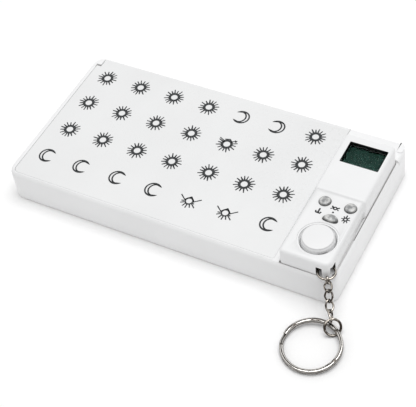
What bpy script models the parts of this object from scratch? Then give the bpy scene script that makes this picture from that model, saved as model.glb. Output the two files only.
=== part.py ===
"""Electronic pill organizer: a flat case with a hinged lid over a tray of cells, and a lift-out alarm unit.

The unit has a display, keys and a large button, and a key ring hangs from its corner on a chain.
Metres, +Z up. The origin is the centre of the case's underside, +X runs along the columns of cells
towards the alarm unit, and +Y runs from the front edge to the hinge.
"""

import math
from dataclasses import dataclass

import bmesh
import bpy
from mathutils import Matrix, Vector

# Shared clearances and mesh fineness
OVERRUN = 0.0040
SEAM = 0.0003
SLIDING_GAP = 0.00025
LID_GAP = 0.0002
SMALLEST_RADIUS = 0.0001
CORNER_STEPS = 5
EDGE_STEPS = 4
ROUND_SIDES = 32
MEDIUM_SIDES = 24
SMALL_SIDES = 16
SMOOTH_ANGLE = math.radians(35)

# Case
CASE_LENGTH = 0.1470
CASE_DEPTH = 0.0750
CASE_HEIGHT = 0.0150
CASE_CORNER = 0.0050
CASE_EDGE_RUN = 0.0014
CASE_EDGE_RISE = 0.0024
CASE_FOOT_ROUND = 0.0006
CASE_FLOOR = 0.0016
CASE_FRONT_WALL = 0.0012
CASE_LEFT_WALL = 0.0023
CASE_BACK_WALL = 0.0016
CASE_RIB = 0.00205
BAY_FRONT_WALL = 0.0008
BAY_CORNER = 0.0032
BAY_SMALL_CORNER = 0.0012
RAIL_WALL = 0.00125
RAIL_DROP = 0.0014
RAIL_EDGE_RUN = 0.0009
RAIL_EDGE_RISE = 0.0018
RAIL_OVERSIZE = 0.00005
BACK_STRIP_DEPTH = 0.00995
UNIT_BAY_LENGTH = 0.0215
LID_BAY_CORNER = 0.0026

# Hinge along the back edge
BARREL_RADIUS = 0.00145
HINGE_ROD_RADIUS = 0.00075
HINGE_BORE_RADIUS = 0.00095
HINGE_ROD_ANCHOR = 0.0045
HINGE_ROD_RECESS = 0.0003
HINGE_POST_SKIN = 0.0026
HINGE_POST_LENGTH = 0.0043
HINGE_POST_REACH = 0.0032
HINGE_POST_SWING = 0.0004
HINGE_DROP = 0.0018

# Lid
LID_THICKNESS = 0.0020
LID_CORNER = 0.0025
LID_SMALL_CORNER = 0.0010
LID_EDGE = 0.0003

# Tray of cells
COLUMNS = 7
ROWS = 4
GRID_LEFT_MARGIN = 0.00125
GRID_RIGHT_MARGIN = 0.00315
GRID_FRONT_MARGIN = 0.0044
GRID_BACK_MARGIN = 0.00055
CELL_WALL = 0.0015
CELL_CORNER = 0.0016
CELL_CORNER_STEPS = 3
CELL_FILLET = 0.0010
CELL_FLOOR = 0.0010
TRAY_DECK = 0.0010
TRAY_OUTER_WALL = 0.0012

# Alarm unit housing
UNIT_CORNER = 0.0012
UNIT_KEY_CORNER = 0.0030
UNIT_EDGE_RUN = 0.0013
UNIT_EDGE_RISE = 0.0013
UNIT_WALL = 0.0010
UNIT_ROOF = 0.0014
UNIT_FLOOR = 0.0012
UNIT_FLOOR_GAP = 0.0004
REAR_CASE_HEIGHT = 0.0119
KEYPAD_HEIGHT = 0.0081
KEYPAD_INSET = 0.0003
DISPLAY_RISE = 0.0007
KEYPAD_DEPTH = 0.03245
FINGER_SLOT_LENGTH = 0.0088
FINGER_SLOT_HEIGHT = 0.0019
FINGER_SLOT_DEPTH = 0.0007

# Window and display
WINDOW_LENGTH = 0.0161
WINDOW_DEPTH = 0.01135
WINDOW_BACK_MARGIN = 0.00375
WINDOW_RIGHT_MARGIN = 0.00155
WINDOW_CORNER = 0.0004
LENS_LAP = 0.00035
LENS_THICKNESS = 0.0009
GLASS_LAP = 0.00025
GLASS_THICKNESS = 0.0018
STRIP_WIDTH = 0.0014
STRIP_SIDE_MARGIN = 0.0012

# Keys: places are from the unit's left edge and its front edge
ROUND_KEY_RADIUS = 0.0023
ROUND_KEY_LEFT_X = 0.00645
ROUND_KEY_LEFT_Y = 0.02809
ROUND_KEY_RIGHT_X = 0.0169
ROUND_KEY_RIGHT_Y = 0.0283
KEY_STAND = 0.0005
KEY_DOME = 0.0005
KEY_GAP = 0.0002
KEY_FLANGE_LAP = 0.0003
KEY_FLANGE = 0.0006
KEY_STEM_RADIUS = 0.0012
KEY_TRAVEL = 0.0004
BEAN_KEY_X = 0.01189
BEAN_KEY_Y = 0.02071
BEAN_HALF_LENGTH = 0.0030
BEAN_HALF_WIDTH = 0.00175
BEAN_BEND = 0.0007

# Large button
BUTTON_X = 0.01144
BUTTON_Y = 0.01044
BUTTON_SIDES = 48
BUTTON_HOLE_RADIUS = 0.00695
BUTTON_DISH_RADIUS = 0.0081
BUTTON_DISH_DEPTH = 0.0017
BUTTON_COLLAR_WALL = 0.00095
BUTTON_COLLAR_DROP = 0.0013
BUTTON_CAP_GAP = 0.0002
BUTTON_CAP_STAND = 0.0013
BUTTON_CAP_ROUND = 0.0011
BUTTON_FLANGE_LAP = 0.0004
BUTTON_FLANGE = 0.0005
BUTTON_STEM_RADIUS = 0.0020
BUTTON_TRAVEL = 0.0005

# Works inside the alarm unit
BOARD_THICKNESS = 0.0010
BOARD_LIFT = 0.0006
BOARD_SIDE_GAP = 0.0005
BOARD_FRONT_MARGIN = 0.0072
BOARD_BACK_MARGIN = 0.0033
BOARD_POST_RADIUS = 0.0010
SWITCH_SIDE = 0.0036
SWITCH_CORNER = 0.0004
SWITCH_HEIGHT = 0.0008
SWITCH_PLUNGER_RADIUS = 0.0008
SWITCH_PLUNGER_HEIGHT = 0.0003
SWITCH_GAP = 0.0001
BUZZER_RADIUS = 0.0044
BUZZER_HEIGHT = 0.0018
BUZZER_VENT_RADIUS = 0.0009
BUZZER_VENT_DEPTH = 0.0008
BUZZER_Y = 0.0380
CELL_RADIUS = 0.00525
CELL_TIP_RADIUS = 0.0019
CELL_TIP_LENGTH = 0.0010
CELL_RIM_ROUND = 0.0005
BATTERY_X = 0.0104
BATTERY_FRONT_MARGIN = 0.01485
BATTERY_BACK_MARGIN = 0.0054
CONTACT_THICKNESS = 0.0004
CONTACT_WIDTH = 0.0080
CONTACT_HEIGHT = 0.0074
CRADLE_WALL = 0.0010
CRADLE_HEIGHT = 0.0090
DOOR_WIDTH = 0.0102
DOOR_TAB = 0.0056
DOOR_CORNER = 0.0010
DOOR_BLOCK_SIDE = 0.0044
DOOR_BLOCK_HEIGHT = 0.0060

# Screws
BOSS_RADIUS = 0.0017
SCREW_RADIUS = 0.0008
SCREW_BORE_RADIUS = 0.0010
SCREW_HEAD_RADIUS = 0.0012
SCREW_HEAD_HEIGHT = 0.0009
SCREW_HEAD_POCKET_RADIUS = 0.00145
SCREW_HEAD_POCKET_DEPTH = 0.0020
SCREW_DRIVE_RADIUS = 0.0005
SCREW_DRIVE_DEPTH = 0.0005
CASE_SCREW_LENGTH = 0.0140
DOOR_SCREW_LENGTH = 0.0050
FRONT_SCREW_Y = 0.0031
SCREW_LEFT_X = 0.0028
SCREW_RIGHT_X = 0.0184

# Key ring corner of the alarm unit: the loop's place is from the unit's right and front edges
RING_MARGIN_X = 0.0024
RING_MARGIN_Y = 0.00165
RING_POST_SHIFT = 0.0005
RING_POST_RADIUS = 0.0016
RING_TUNNEL_RADIUS = 0.0040
RING_TUNNEL_HEIGHT = 0.0045
RING_TUNNEL_LIFT = 0.0006
RING_BLOCK_WALL = 0.0009
RING_BLOCK_ROOF = 0.0005
LOOP_RADIUS = 0.0033
LOOP_WIRE = 0.00045
LOOP_HEIGHT = 0.0018
LOOP_POINTS = 28

# Chain
CHAIN_AZIMUTH = math.radians(29)
LINK_WIRE = 0.0004
LINK_CLEARANCE = 0.00025
LINK_LENGTH = 0.0057
LINK_WIDTH = 0.0036
FIRST_LINK_LENGTH = 0.0040
FIRST_LINK_WIDTH = 0.0030
LINK_POINTS = 20
LINK_TWIST = math.radians(45)
FIRST_LINK_TWIST = math.radians(90)
LAST_LINK_TWIST = math.radians(-90)
LINK_SLOPES = tuple(math.radians(slope) for slope in (4, 20, 36, 66, 77))
JUMP_RING_RADIUS = 0.0031
JUMP_RING_WIRE = 0.0005
JUMP_RING_POINTS = 28
JUMP_RING_LEAN = math.radians(50.5)
JUMP_RING_AZIMUTH = math.radians(41)

# Split ring
SPLIT_RING_RADIUS = 0.0110
SPLIT_RING_REACH = 0.0106
SPLIT_RING_BAND = 0.0015
SPLIT_RING_COIL = 0.0009
SPLIT_RING_GAP = 0.00015
SPLIT_RING_STEP = math.radians(24)
SPLIT_RING_CHAMFER = 0.00025
SPLIT_RING_POINTS = 44
SPLIT_RING_START = math.radians(200)
SPLIT_RING_AZIMUTH = math.radians(-24)
SPLIT_RING_TILT = math.radians(3.4)
TABLE_GAP = 0.00005


@dataclass(frozen=True)
class Plan:
    """A rectangle with rounded corners, seen from above.

    Its corners run front left, front right, back right, back left.
    """

    left: float
    right: float
    front: float
    back: float
    corners: tuple
    steps: int = CORNER_STEPS

    def ring(self, z, inset=0.0):
        """The outline at height z, drawn in by inset, anticlockwise."""
        sides = (
            (self.left, self.front, 1, 1, math.pi),
            (self.right, self.front, -1, 1, 1.5 * math.pi),
            (self.right, self.back, -1, -1, 0.0),
            (self.left, self.back, 1, -1, 0.5 * math.pi),
        )
        points = []
        for (x, y, inward_x, inward_y, start), corner in zip(sides, self.corners):
            radius = max(corner - inset, SMALLEST_RADIUS)
            centre_x = x + inward_x * (inset + radius)
            centre_y = y + inward_y * (inset + radius)
            for step in range(self.steps + 1):
                angle = start + 0.5 * math.pi * step / self.steps
                along_x_axis = centre_x + radius * math.cos(angle)
                along_y_axis = centre_y + radius * math.sin(angle)
                points.append(Vector((along_x_axis, along_y_axis, z)))
        return points

    def grown(self, margin):
        """The same plan with every side moved out by margin."""
        return Plan(
            self.left - margin,
            self.right + margin,
            self.front - margin,
            self.back + margin,
            tuple(max(corner + margin, SMALLEST_RADIUS) for corner in self.corners),
            self.steps,
        )


def plan_of(left, right, front, back, corner, steps=CORNER_STEPS):
    """A plan whose four corners are alike."""
    return Plan(left, right, front, back, (corner,) * 4, steps)


# Case planes
CASE_LEFT = -CASE_LENGTH / 2
CASE_RIGHT = CASE_LENGTH / 2
CASE_FRONT = -CASE_DEPTH / 2
CASE_BACK = CASE_DEPTH / 2
CASE_PLAN = plan_of(CASE_LEFT, CASE_RIGHT, CASE_FRONT, CASE_BACK, CASE_CORNER)
UNIT_BAY_RIGHT = CASE_RIGHT - RAIL_WALL
UNIT_BAY = Plan(
    UNIT_BAY_RIGHT - UNIT_BAY_LENGTH,
    UNIT_BAY_RIGHT,
    CASE_FRONT + BAY_FRONT_WALL,
    CASE_BACK - BACK_STRIP_DEPTH,
    (BAY_SMALL_CORNER, BAY_CORNER, BAY_SMALL_CORNER, BAY_SMALL_CORNER),
)
LID_BAY_LEFT = CASE_LEFT + CASE_LEFT_WALL
LID_BAY_RIGHT = UNIT_BAY.left - CASE_RIB
LID_BAY_FRONT = CASE_FRONT + CASE_FRONT_WALL
TRAY_BAY_BACK = CASE_BACK - CASE_BACK_WALL
RAIL_TOP = CASE_HEIGHT - RAIL_DROP
LID_UNDERSIDE = CASE_HEIGHT - LID_THICKNESS

# Hinge axis
HINGE_Y = CASE_BACK - BARREL_RADIUS - LID_GAP / 4
HINGE_Z = CASE_HEIGHT - BARREL_RADIUS - LID_GAP / 4
HINGE_POST_RIGHT = CASE_LEFT + HINGE_POST_LENGTH
HINGE_POST_FRONT = HINGE_Y - HINGE_POST_REACH
HINGE_SEAT_TOP = HINGE_Z - HINGE_DROP

# Tray levels and the pitch and centre of its cells
TRAY_TOP = LID_UNDERSIDE - SEAM
TRAY_BOTTOM = CASE_FLOOR + SEAM
CELL_BOTTOM = TRAY_BOTTOM + CELL_FLOOR
TRAY_BACK = HINGE_Y - BARREL_RADIUS - SEAM
GRID_LEFT = LID_BAY_LEFT + GRID_LEFT_MARGIN
GRID_RIGHT = LID_BAY_RIGHT - GRID_RIGHT_MARGIN
GRID_FRONT = LID_BAY_FRONT + GRID_FRONT_MARGIN
GRID_BACK = TRAY_BACK - GRID_BACK_MARGIN
GRID_CENTRE_X = (GRID_LEFT + GRID_RIGHT) / 2
GRID_CENTRE_Y = (GRID_FRONT + GRID_BACK) / 2
CELL_PITCH_X = (GRID_RIGHT - GRID_LEFT) / COLUMNS
CELL_PITCH_Y = (GRID_BACK - GRID_FRONT) / ROWS

# Alarm unit planes and levels
UNIT_LEFT = UNIT_BAY.left + SLIDING_GAP
UNIT_RIGHT = UNIT_BAY.right - SLIDING_GAP
UNIT_FRONT = UNIT_BAY.front + SLIDING_GAP
UNIT_BACK = UNIT_BAY.back - SLIDING_GAP
UNIT_BOTTOM = CASE_FLOOR + UNIT_FLOOR_GAP
REAR_CASE_TOP = UNIT_BOTTOM + REAR_CASE_HEIGHT
COVER_BOTTOM = REAR_CASE_TOP + SEAM
KEYPAD_TOP = COVER_BOTTOM + KEYPAD_HEIGHT
DISPLAY_TOP = KEYPAD_TOP + DISPLAY_RISE
KEYPAD_RIGHT = UNIT_RIGHT - KEYPAD_INSET
DISPLAY_FRONT = UNIT_FRONT + KEYPAD_DEPTH
KEYPAD_CEILING = KEYPAD_TOP - UNIT_ROOF
DISPLAY_CEILING = DISPLAY_TOP - UNIT_ROOF
BUTTON_DISH_BOTTOM = KEYPAD_TOP - BUTTON_DISH_DEPTH
BUTTON_COLLAR_BOTTOM = BUTTON_DISH_BOTTOM - BUTTON_COLLAR_DROP
UNIT_PLAN = Plan(
    UNIT_LEFT, UNIT_RIGHT, UNIT_FRONT, UNIT_BACK, (UNIT_CORNER, UNIT_KEY_CORNER, UNIT_CORNER, UNIT_CORNER)
)
KEYPAD_PLAN = Plan(
    UNIT_LEFT,
    KEYPAD_RIGHT,
    UNIT_FRONT,
    DISPLAY_FRONT + UNIT_KEY_CORNER,
    (UNIT_CORNER, UNIT_KEY_CORNER, UNIT_CORNER, UNIT_CORNER),
)
DISPLAY_PLAN = plan_of(UNIT_LEFT, UNIT_RIGHT, DISPLAY_FRONT, UNIT_BACK, UNIT_CORNER)

# Key ring corner
RING_X = UNIT_RIGHT - RING_MARGIN_X
RING_Y = UNIT_FRONT + RING_MARGIN_Y
TUNNEL_BOTTOM = COVER_BOTTOM + RING_TUNNEL_LIFT
TUNNEL_TOP = TUNNEL_BOTTOM + RING_TUNNEL_HEIGHT
RING_BLOCK_RADIUS = RING_TUNNEL_RADIUS + RING_BLOCK_WALL
RING_BLOCK_TOP = TUNNEL_TOP + RING_BLOCK_ROOF
LOOP_CENTRE = Vector((RING_X, RING_Y, COVER_BOTTOM + LOOP_HEIGHT))

# Board levels
BOARD_BOTTOM = COVER_BOTTOM + BOARD_LIFT
BOARD_TOP = BOARD_BOTTOM + BOARD_THICKNESS
SWITCH_BOTTOM = BOARD_TOP + SEAM
PLUNGER_TOP = SWITCH_BOTTOM + SWITCH_HEIGHT + SWITCH_PLUNGER_HEIGHT

# Display levels
WINDOW = plan_of(
    UNIT_RIGHT - WINDOW_RIGHT_MARGIN - WINDOW_LENGTH,
    UNIT_RIGHT - WINDOW_RIGHT_MARGIN,
    UNIT_BACK - WINDOW_BACK_MARGIN - WINDOW_DEPTH,
    UNIT_BACK - WINDOW_BACK_MARGIN,
    WINDOW_CORNER,
)
LENS_TOP = DISPLAY_CEILING - SEAM
GLASS_TOP = LENS_TOP - LENS_THICKNESS - SEAM
GLASS_BOTTOM = GLASS_TOP - GLASS_THICKNESS

# Battery compartment
BATTERY_CENTRE_X = UNIT_LEFT + BATTERY_X
BATTERY_FRONT = UNIT_FRONT + BATTERY_FRONT_MARGIN
BATTERY_BACK = UNIT_BACK - BATTERY_BACK_MARGIN
BATTERY_CENTRE_Y = (BATTERY_FRONT + BATTERY_BACK) / 2
DOOR_TOP = UNIT_BOTTOM + UNIT_FLOOR
BATTERY_CENTRE_Z = DOOR_TOP + SEAM + CELL_RADIUS
CONTACT_FRONT = BATTERY_FRONT - SEAM - CONTACT_THICKNESS
CONTACT_BACK = BATTERY_BACK + CELL_TIP_LENGTH + SEAM
CRADLE_FRONT = CONTACT_FRONT - SEAM - CRADLE_WALL
CRADLE_BACK = CONTACT_BACK + CONTACT_THICKNESS + SEAM
DOOR_PLAN = plan_of(
    BATTERY_CENTRE_X - DOOR_WIDTH / 2,
    BATTERY_CENTRE_X + DOOR_WIDTH / 2,
    CRADLE_FRONT - DOOR_TAB,
    BATTERY_BACK,
    DOOR_CORNER,
)
DOOR_SCREW_Y = CRADLE_FRONT - DOOR_TAB / 2

# Places of the three housing screws: the back ones are midway between the keys and the window
KEY_BACK = UNIT_FRONT + ROUND_KEY_RIGHT_Y + ROUND_KEY_RADIUS + KEY_FLANGE_LAP
BACK_SCREW_Y = (KEY_BACK + WINDOW.front - LENS_LAP) / 2
HOUSING_SCREWS = {
    "back_left": (UNIT_LEFT + SCREW_LEFT_X, BACK_SCREW_Y),
    "back_right": (UNIT_LEFT + SCREW_RIGHT_X, BACK_SCREW_Y),
    "front_left": (UNIT_LEFT + SCREW_LEFT_X, UNIT_FRONT + FRONT_SCREW_Y),
}

# Places of the keys
KEY_PLACES = {
    "left": (UNIT_LEFT + ROUND_KEY_LEFT_X, UNIT_FRONT + ROUND_KEY_LEFT_Y),
    "right": (UNIT_LEFT + ROUND_KEY_RIGHT_X, UNIT_FRONT + ROUND_KEY_RIGHT_Y),
    "bean": (UNIT_LEFT + BEAN_KEY_X, UNIT_FRONT + BEAN_KEY_Y),
    "button": (UNIT_LEFT + BUTTON_X, UNIT_FRONT + BUTTON_Y),
}

# Finishes: colour, roughness, metallic value, alpha
FINISHES = {
    "white_plastic": ((0.86, 0.86, 0.86, 1.0), 0.38, 0.0, 1.0),
    "panel_plastic": ((0.82, 0.83, 0.83, 1.0), 0.42, 0.0, 1.0),
    "tray_plastic": ((0.84, 0.85, 0.86, 1.0), 0.45, 0.0, 1.0),
    "key_plastic": ((0.46, 0.47, 0.48, 1.0), 0.22, 0.0, 1.0),
    "clear_lens": ((0.80, 0.86, 0.84, 1.0), 0.05, 0.0, 0.35),
    "display_green": ((0.02, 0.055, 0.045, 1.0), 0.20, 0.0, 1.0),
    "board_green": ((0.03, 0.16, 0.08, 1.0), 0.50, 0.0, 1.0),
    "black_rubber": ((0.03, 0.03, 0.03, 1.0), 0.80, 0.0, 1.0),
    "dark_plastic": ((0.05, 0.05, 0.05, 1.0), 0.50, 0.0, 1.0),
    "nickel": ((0.62, 0.59, 0.55, 1.0), 0.16, 1.0, 1.0),
    "steel": ((0.60, 0.60, 0.60, 1.0), 0.30, 1.0, 1.0),
    "battery_wrap": ((0.20, 0.22, 0.24, 1.0), 0.35, 0.0, 1.0),
}


def clear_scene():
    """Removes every object that the scene holds."""
    for obj in list(bpy.data.objects):
        bpy.data.objects.remove(obj, do_unlink=True)


def finish(name):
    """The material of that name, made the first time it is asked for."""
    made = bpy.data.materials.get(name)
    if made:
        return made
    colour, roughness, metallic, alpha = FINISHES[name]
    made = bpy.data.materials.new(name)
    made.use_nodes = True
    shader = made.node_tree.nodes["Principled BSDF"]
    shader.inputs["Base Color"].default_value = colour
    shader.inputs["Roughness"].default_value = roughness
    shader.inputs["Metallic"].default_value = metallic
    shader.inputs["Alpha"].default_value = alpha
    return made


def add_loft(bm, rings):
    """Joins rings of equally many points, lowest first, and closes both ends."""
    loops = [[bm.verts.new(point) for point in ring] for ring in rings]
    count = len(loops[0])
    for below, above in zip(loops, loops[1:]):
        for i in range(count):
            j = (i + 1) % count
            bm.faces.new((below[i], below[j], above[j], above[i]))
    bm.faces.new(list(reversed(loops[0])))
    bm.faces.new(loops[-1])


def mesh_from(bm, name):
    """The finished mesh, with its faces turned out and round stretches shaded smooth."""
    bmesh.ops.recalc_face_normals(bm, faces=bm.faces)
    mesh = bpy.data.meshes.new(name)
    bm.to_mesh(mesh)
    bm.free()
    mesh.shade_smooth()
    mesh.set_sharp_from_angle(angle=SMOOTH_ANGLE)
    return mesh


def lofted(name, *stacks):
    """One mesh of one or more lofts."""
    bm = bmesh.new()
    for rings in stacks:
        add_loft(bm, rings)
    return mesh_from(bm, name)


def block_rings(plan, bottom, top):
    """Two rings of a straight block."""
    return [plan.ring(bottom), plan.ring(top)]


def rounded_rings(plan, bottom, top, run, rise, foot=0.0):
    """Rings of a block whose top edge is rounded by run and rise, with a small round at its foot."""
    rings = [plan.ring(bottom, foot), plan.ring(bottom + foot)] if foot else [plan.ring(bottom)]
    for step in range(EDGE_STEPS + 1):
        angle = 0.5 * math.pi * step / EDGE_STEPS
        rings.append(plan.ring(top - rise + rise * math.sin(angle), run * (1 - math.cos(angle))))
    return rings


def circle(x, y, z, radius, sides=ROUND_SIDES):
    """A level ring of points, anticlockwise."""
    turns = (2 * math.pi * (i + 0.5) / sides for i in range(sides))
    return [Vector((x + radius * math.cos(turn), y + radius * math.sin(turn), z)) for turn in turns]


def turned(x, y, profile, sides=ROUND_SIDES):
    """Rings of a turned piece about a vertical axis, from (radius, height) pairs, lowest first."""
    return [circle(x, y, z, radius, sides) for radius, z in profile]


def along_x(y, z, left, right, radius, sides=ROUND_SIDES):
    """Rings of a rod that lies along X."""
    turns = [2 * math.pi * (i + 0.5) / sides for i in range(sides)]
    return [
        [Vector((x, y + radius * math.cos(turn), z + radius * math.sin(turn))) for turn in turns]
        for x in (left, right)
    ]


def along_y(x, z, profile, sides=ROUND_SIDES):
    """Rings of a turned piece whose axis lies along Y, from (radius, y) pairs."""
    turns = [2 * math.pi * (i + 0.5) / sides for i in range(sides)]
    return [
        [Vector((x + radius * math.cos(turn), y, z + radius * math.sin(turn))) for turn in turns]
        for radius, y in profile
    ]


def anchor(name, origin, parent=None):
    """An empty at a joint or at the reference point of an assembly."""
    empty = bpy.data.objects.new(name, None)
    bpy.context.scene.collection.objects.link(empty)
    return hang(empty, origin, parent)


def hang(obj, origin, parent):
    """Places an object by its own origin, measured from its parent."""
    obj.parent = parent
    parent_origin = Vector(parent["origin"]) if parent else Vector()
    obj.location = Vector(origin) - parent_origin
    obj["origin"] = tuple(origin)
    return obj


def piece(name, mesh, material, origin, parent):
    """A visible piece, whose mesh was drawn in world coordinates, with its own origin."""
    mesh.name = name
    mesh.transform(Matrix.Translation(-Vector(origin)))
    mesh.materials.append(finish(material))
    obj = bpy.data.objects.new(name, mesh)
    bpy.context.scene.collection.objects.link(obj)
    return hang(obj, origin, parent)


def tool(name, mesh):
    """A shape that only cuts or joins another, left out of the render."""
    obj = bpy.data.objects.new(name, mesh)
    bpy.context.scene.collection.objects.link(obj)
    obj.hide_render = True
    obj.display_type = "WIRE"
    return obj


def boolean(obj, operation, other):
    """Adds a Boolean modifier that keeps its result live."""
    modifier = obj.modifiers.new(other.name, "BOOLEAN")
    modifier.operation = operation
    modifier.object = other
    return obj


def cut(obj, name, *stacks):
    """Cuts one or more lofts from the object."""
    return boolean(obj, "DIFFERENCE", tool(f"cut_{name}", lofted(name, *stacks)))


def join(obj, name, *stacks):
    """Joins one or more lofts to the object."""
    return boolean(obj, "UNION", tool(f"join_{name}", lofted(name, *stacks)))


def make_case(root):
    """The lower case: a shallow box with a bay for the tray and lid, and a deeper one for the alarm unit."""
    rings = rounded_rings(CASE_PLAN, 0.0, CASE_HEIGHT, CASE_EDGE_RUN, CASE_EDGE_RISE, CASE_FOOT_ROUND)
    case = piece("case_base", lofted("case_base", rings), "white_plastic", (0.0, 0.0, 0.0), root)
    boolean(case, "DIFFERENCE", rail_cutter())
    tray_bay = plan_of(LID_BAY_LEFT, LID_BAY_RIGHT, LID_BAY_FRONT, TRAY_BAY_BACK, LID_BAY_CORNER)
    cut(case, "tray_bay", block_rings(tray_bay, CASE_FLOOR, TRAY_TOP + SEAM))
    cut(case, "lid_bay", [lid_bay_ring(TRAY_TOP - SEAM), lid_bay_ring(CASE_HEIGHT + OVERRUN)])
    hinge_bay = plan_of(
        HINGE_POST_RIGHT, LID_BAY_RIGHT, HINGE_POST_FRONT, CASE_BACK + OVERRUN, SMALLEST_RADIUS
    )
    cut(case, "hinge_bay", block_rings(hinge_bay, HINGE_SEAT_TOP, CASE_HEIGHT + OVERRUN))
    cut(case, "unit_bay", block_rings(UNIT_BAY, CASE_FLOOR, CASE_HEIGHT + OVERRUN))
    bore_end = LID_BAY_RIGHT + HINGE_ROD_ANCHOR + HINGE_ROD_RECESS
    cut(
        case,
        "rod_bore",
        along_x(HINGE_Y, HINGE_Z, CASE_LEFT + HINGE_POST_SKIN, bore_end, HINGE_BORE_RADIUS, SMALL_SIDES),
    )
    return cut(case, "loop_clearance", loop_clearance_rings())


def loop_clearance_rings():
    """The room round the key loop, which keeps the case's wall below it."""
    radius = LOOP_RADIUS + LOOP_WIRE + SEAM
    low = LOOP_CENTRE.z - LOOP_WIRE - SEAM
    return turned(RING_X, RING_Y, ((radius, low), (radius, CASE_HEIGHT + OVERRUN)))


def rail_cutter():
    """Lowers the wall to the right of the alarm unit to a rail with its own rounded outer edge."""
    step_x = CASE_RIGHT - CASE_CORNER
    outline = (
        (UNIT_BAY.left, UNIT_BAY.front),
        (step_x, UNIT_BAY.front),
        (step_x, CASE_FRONT - OVERRUN),
        (CASE_RIGHT + OVERRUN, CASE_FRONT - OVERRUN),
        (CASE_RIGHT + OVERRUN, UNIT_BAY.back),
        (UNIT_BAY.left, UNIT_BAY.back),
    )
    low = RAIL_TOP - RAIL_EDGE_RISE - CASE_EDGE_RISE
    rings = [[Vector((x, y, z)) for x, y in outline] for z in (low, CASE_HEIGHT + OVERRUN)]
    cutter = tool("cut_rail", lofted("rail", rings))
    kept = rounded_rings(
        CASE_PLAN.grown(RAIL_OVERSIZE), -OVERRUN, RAIL_TOP, RAIL_EDGE_RUN + RAIL_OVERSIZE, RAIL_EDGE_RISE
    )
    return cut(cutter, "kept_rail", kept)


def notched_ring(plan, notch_right, notch_front, z, inset=0.0):
    """A plan's outline with its back left corner replaced by a square notch."""
    ring = plan.ring(z, inset)[: 3 * (plan.steps + 1)]
    ring.append(Vector((notch_right + inset, plan.back - inset, z)))
    ring.append(Vector((notch_right + inset, notch_front - inset, z)))
    ring.append(Vector((plan.left + inset, notch_front - inset, z)))
    return ring


def lid_bay_ring(z):
    """The lid's opening in the case, which leaves the hinge post at the back left corner."""
    corners = (LID_BAY_CORNER, LID_SMALL_CORNER, SMALLEST_RADIUS, SMALLEST_RADIUS)
    plan = Plan(LID_BAY_LEFT, LID_BAY_RIGHT, LID_BAY_FRONT, HINGE_Y, corners)
    return notched_ring(plan, HINGE_POST_RIGHT, HINGE_POST_FRONT, z)


def make_lid(parent):
    """The flat lid with its barrel along the back edge."""
    corners = (LID_CORNER, LID_SMALL_CORNER, SMALLEST_RADIUS, SMALLEST_RADIUS)
    plan = Plan(
        LID_BAY_LEFT + LID_GAP, LID_BAY_RIGHT - LID_GAP, LID_BAY_FRONT + LID_GAP, HINGE_Y, corners
    )
    notch_right = HINGE_POST_RIGHT + SEAM
    notch_front = HINGE_POST_FRONT - SEAM - HINGE_POST_SWING
    levels = (
        (LID_UNDERSIDE, LID_EDGE),
        (LID_UNDERSIDE + LID_EDGE, 0.0),
        (CASE_HEIGHT - LID_EDGE, 0.0),
        (CASE_HEIGHT, LID_EDGE),
    )
    rings = [notched_ring(plan, notch_right, notch_front, z, inset) for z, inset in levels]
    lid = piece("lid", lofted("lid", rings), "panel_plastic", (0.0, HINGE_Y, HINGE_Z), parent)
    barrel = along_x(HINGE_Y, HINGE_Z, notch_right, plan.right, BARREL_RADIUS)
    join(lid, "barrel", barrel)
    left = notch_right - OVERRUN
    bore = along_x(HINGE_Y, HINGE_Z, left, plan.right + OVERRUN, HINGE_BORE_RADIUS, SMALL_SIDES)
    cut(lid, "barrel_bore", bore)
    return lid


def make_hinge_rod(root):
    """The steel rod that the lid turns on, held in the hinge post and in the back strip."""
    left = CASE_LEFT + HINGE_POST_SKIN + HINGE_ROD_RECESS
    right = LID_BAY_RIGHT + HINGE_ROD_ANCHOR
    rings = along_x(HINGE_Y, HINGE_Z, left, right, HINGE_ROD_RADIUS, SMALL_SIDES)
    return piece("hinge_rod", lofted("hinge_rod", rings), "steel", (left, HINGE_Y, HINGE_Z), root)


def cell_centres():
    """The centre of each cell, column by column."""
    for column in range(COLUMNS):
        for row in range(ROWS):
            yield (
                GRID_CENTRE_X + CELL_PITCH_X * (column - (COLUMNS - 1) / 2),
                GRID_CENTRE_Y + CELL_PITCH_Y * (row - (ROWS - 1) / 2),
            )


def cell_rings(x, y):
    """One cell's hollow, with a round where its walls meet its floor."""
    half_x = (CELL_PITCH_X - CELL_WALL) / 2
    half_y = (CELL_PITCH_Y - CELL_WALL) / 2
    plan = plan_of(x - half_x, x + half_x, y - half_y, y + half_y, CELL_CORNER, CELL_CORNER_STEPS)
    middle = CELL_FILLET * (1 - math.cos(math.pi / 4))
    return [
        plan.ring(CELL_BOTTOM, CELL_FILLET),
        plan.ring(CELL_BOTTOM + middle, middle),
        plan.ring(CELL_BOTTOM + CELL_FILLET),
        plan.ring(TRAY_TOP + OVERRUN),
    ]


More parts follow.
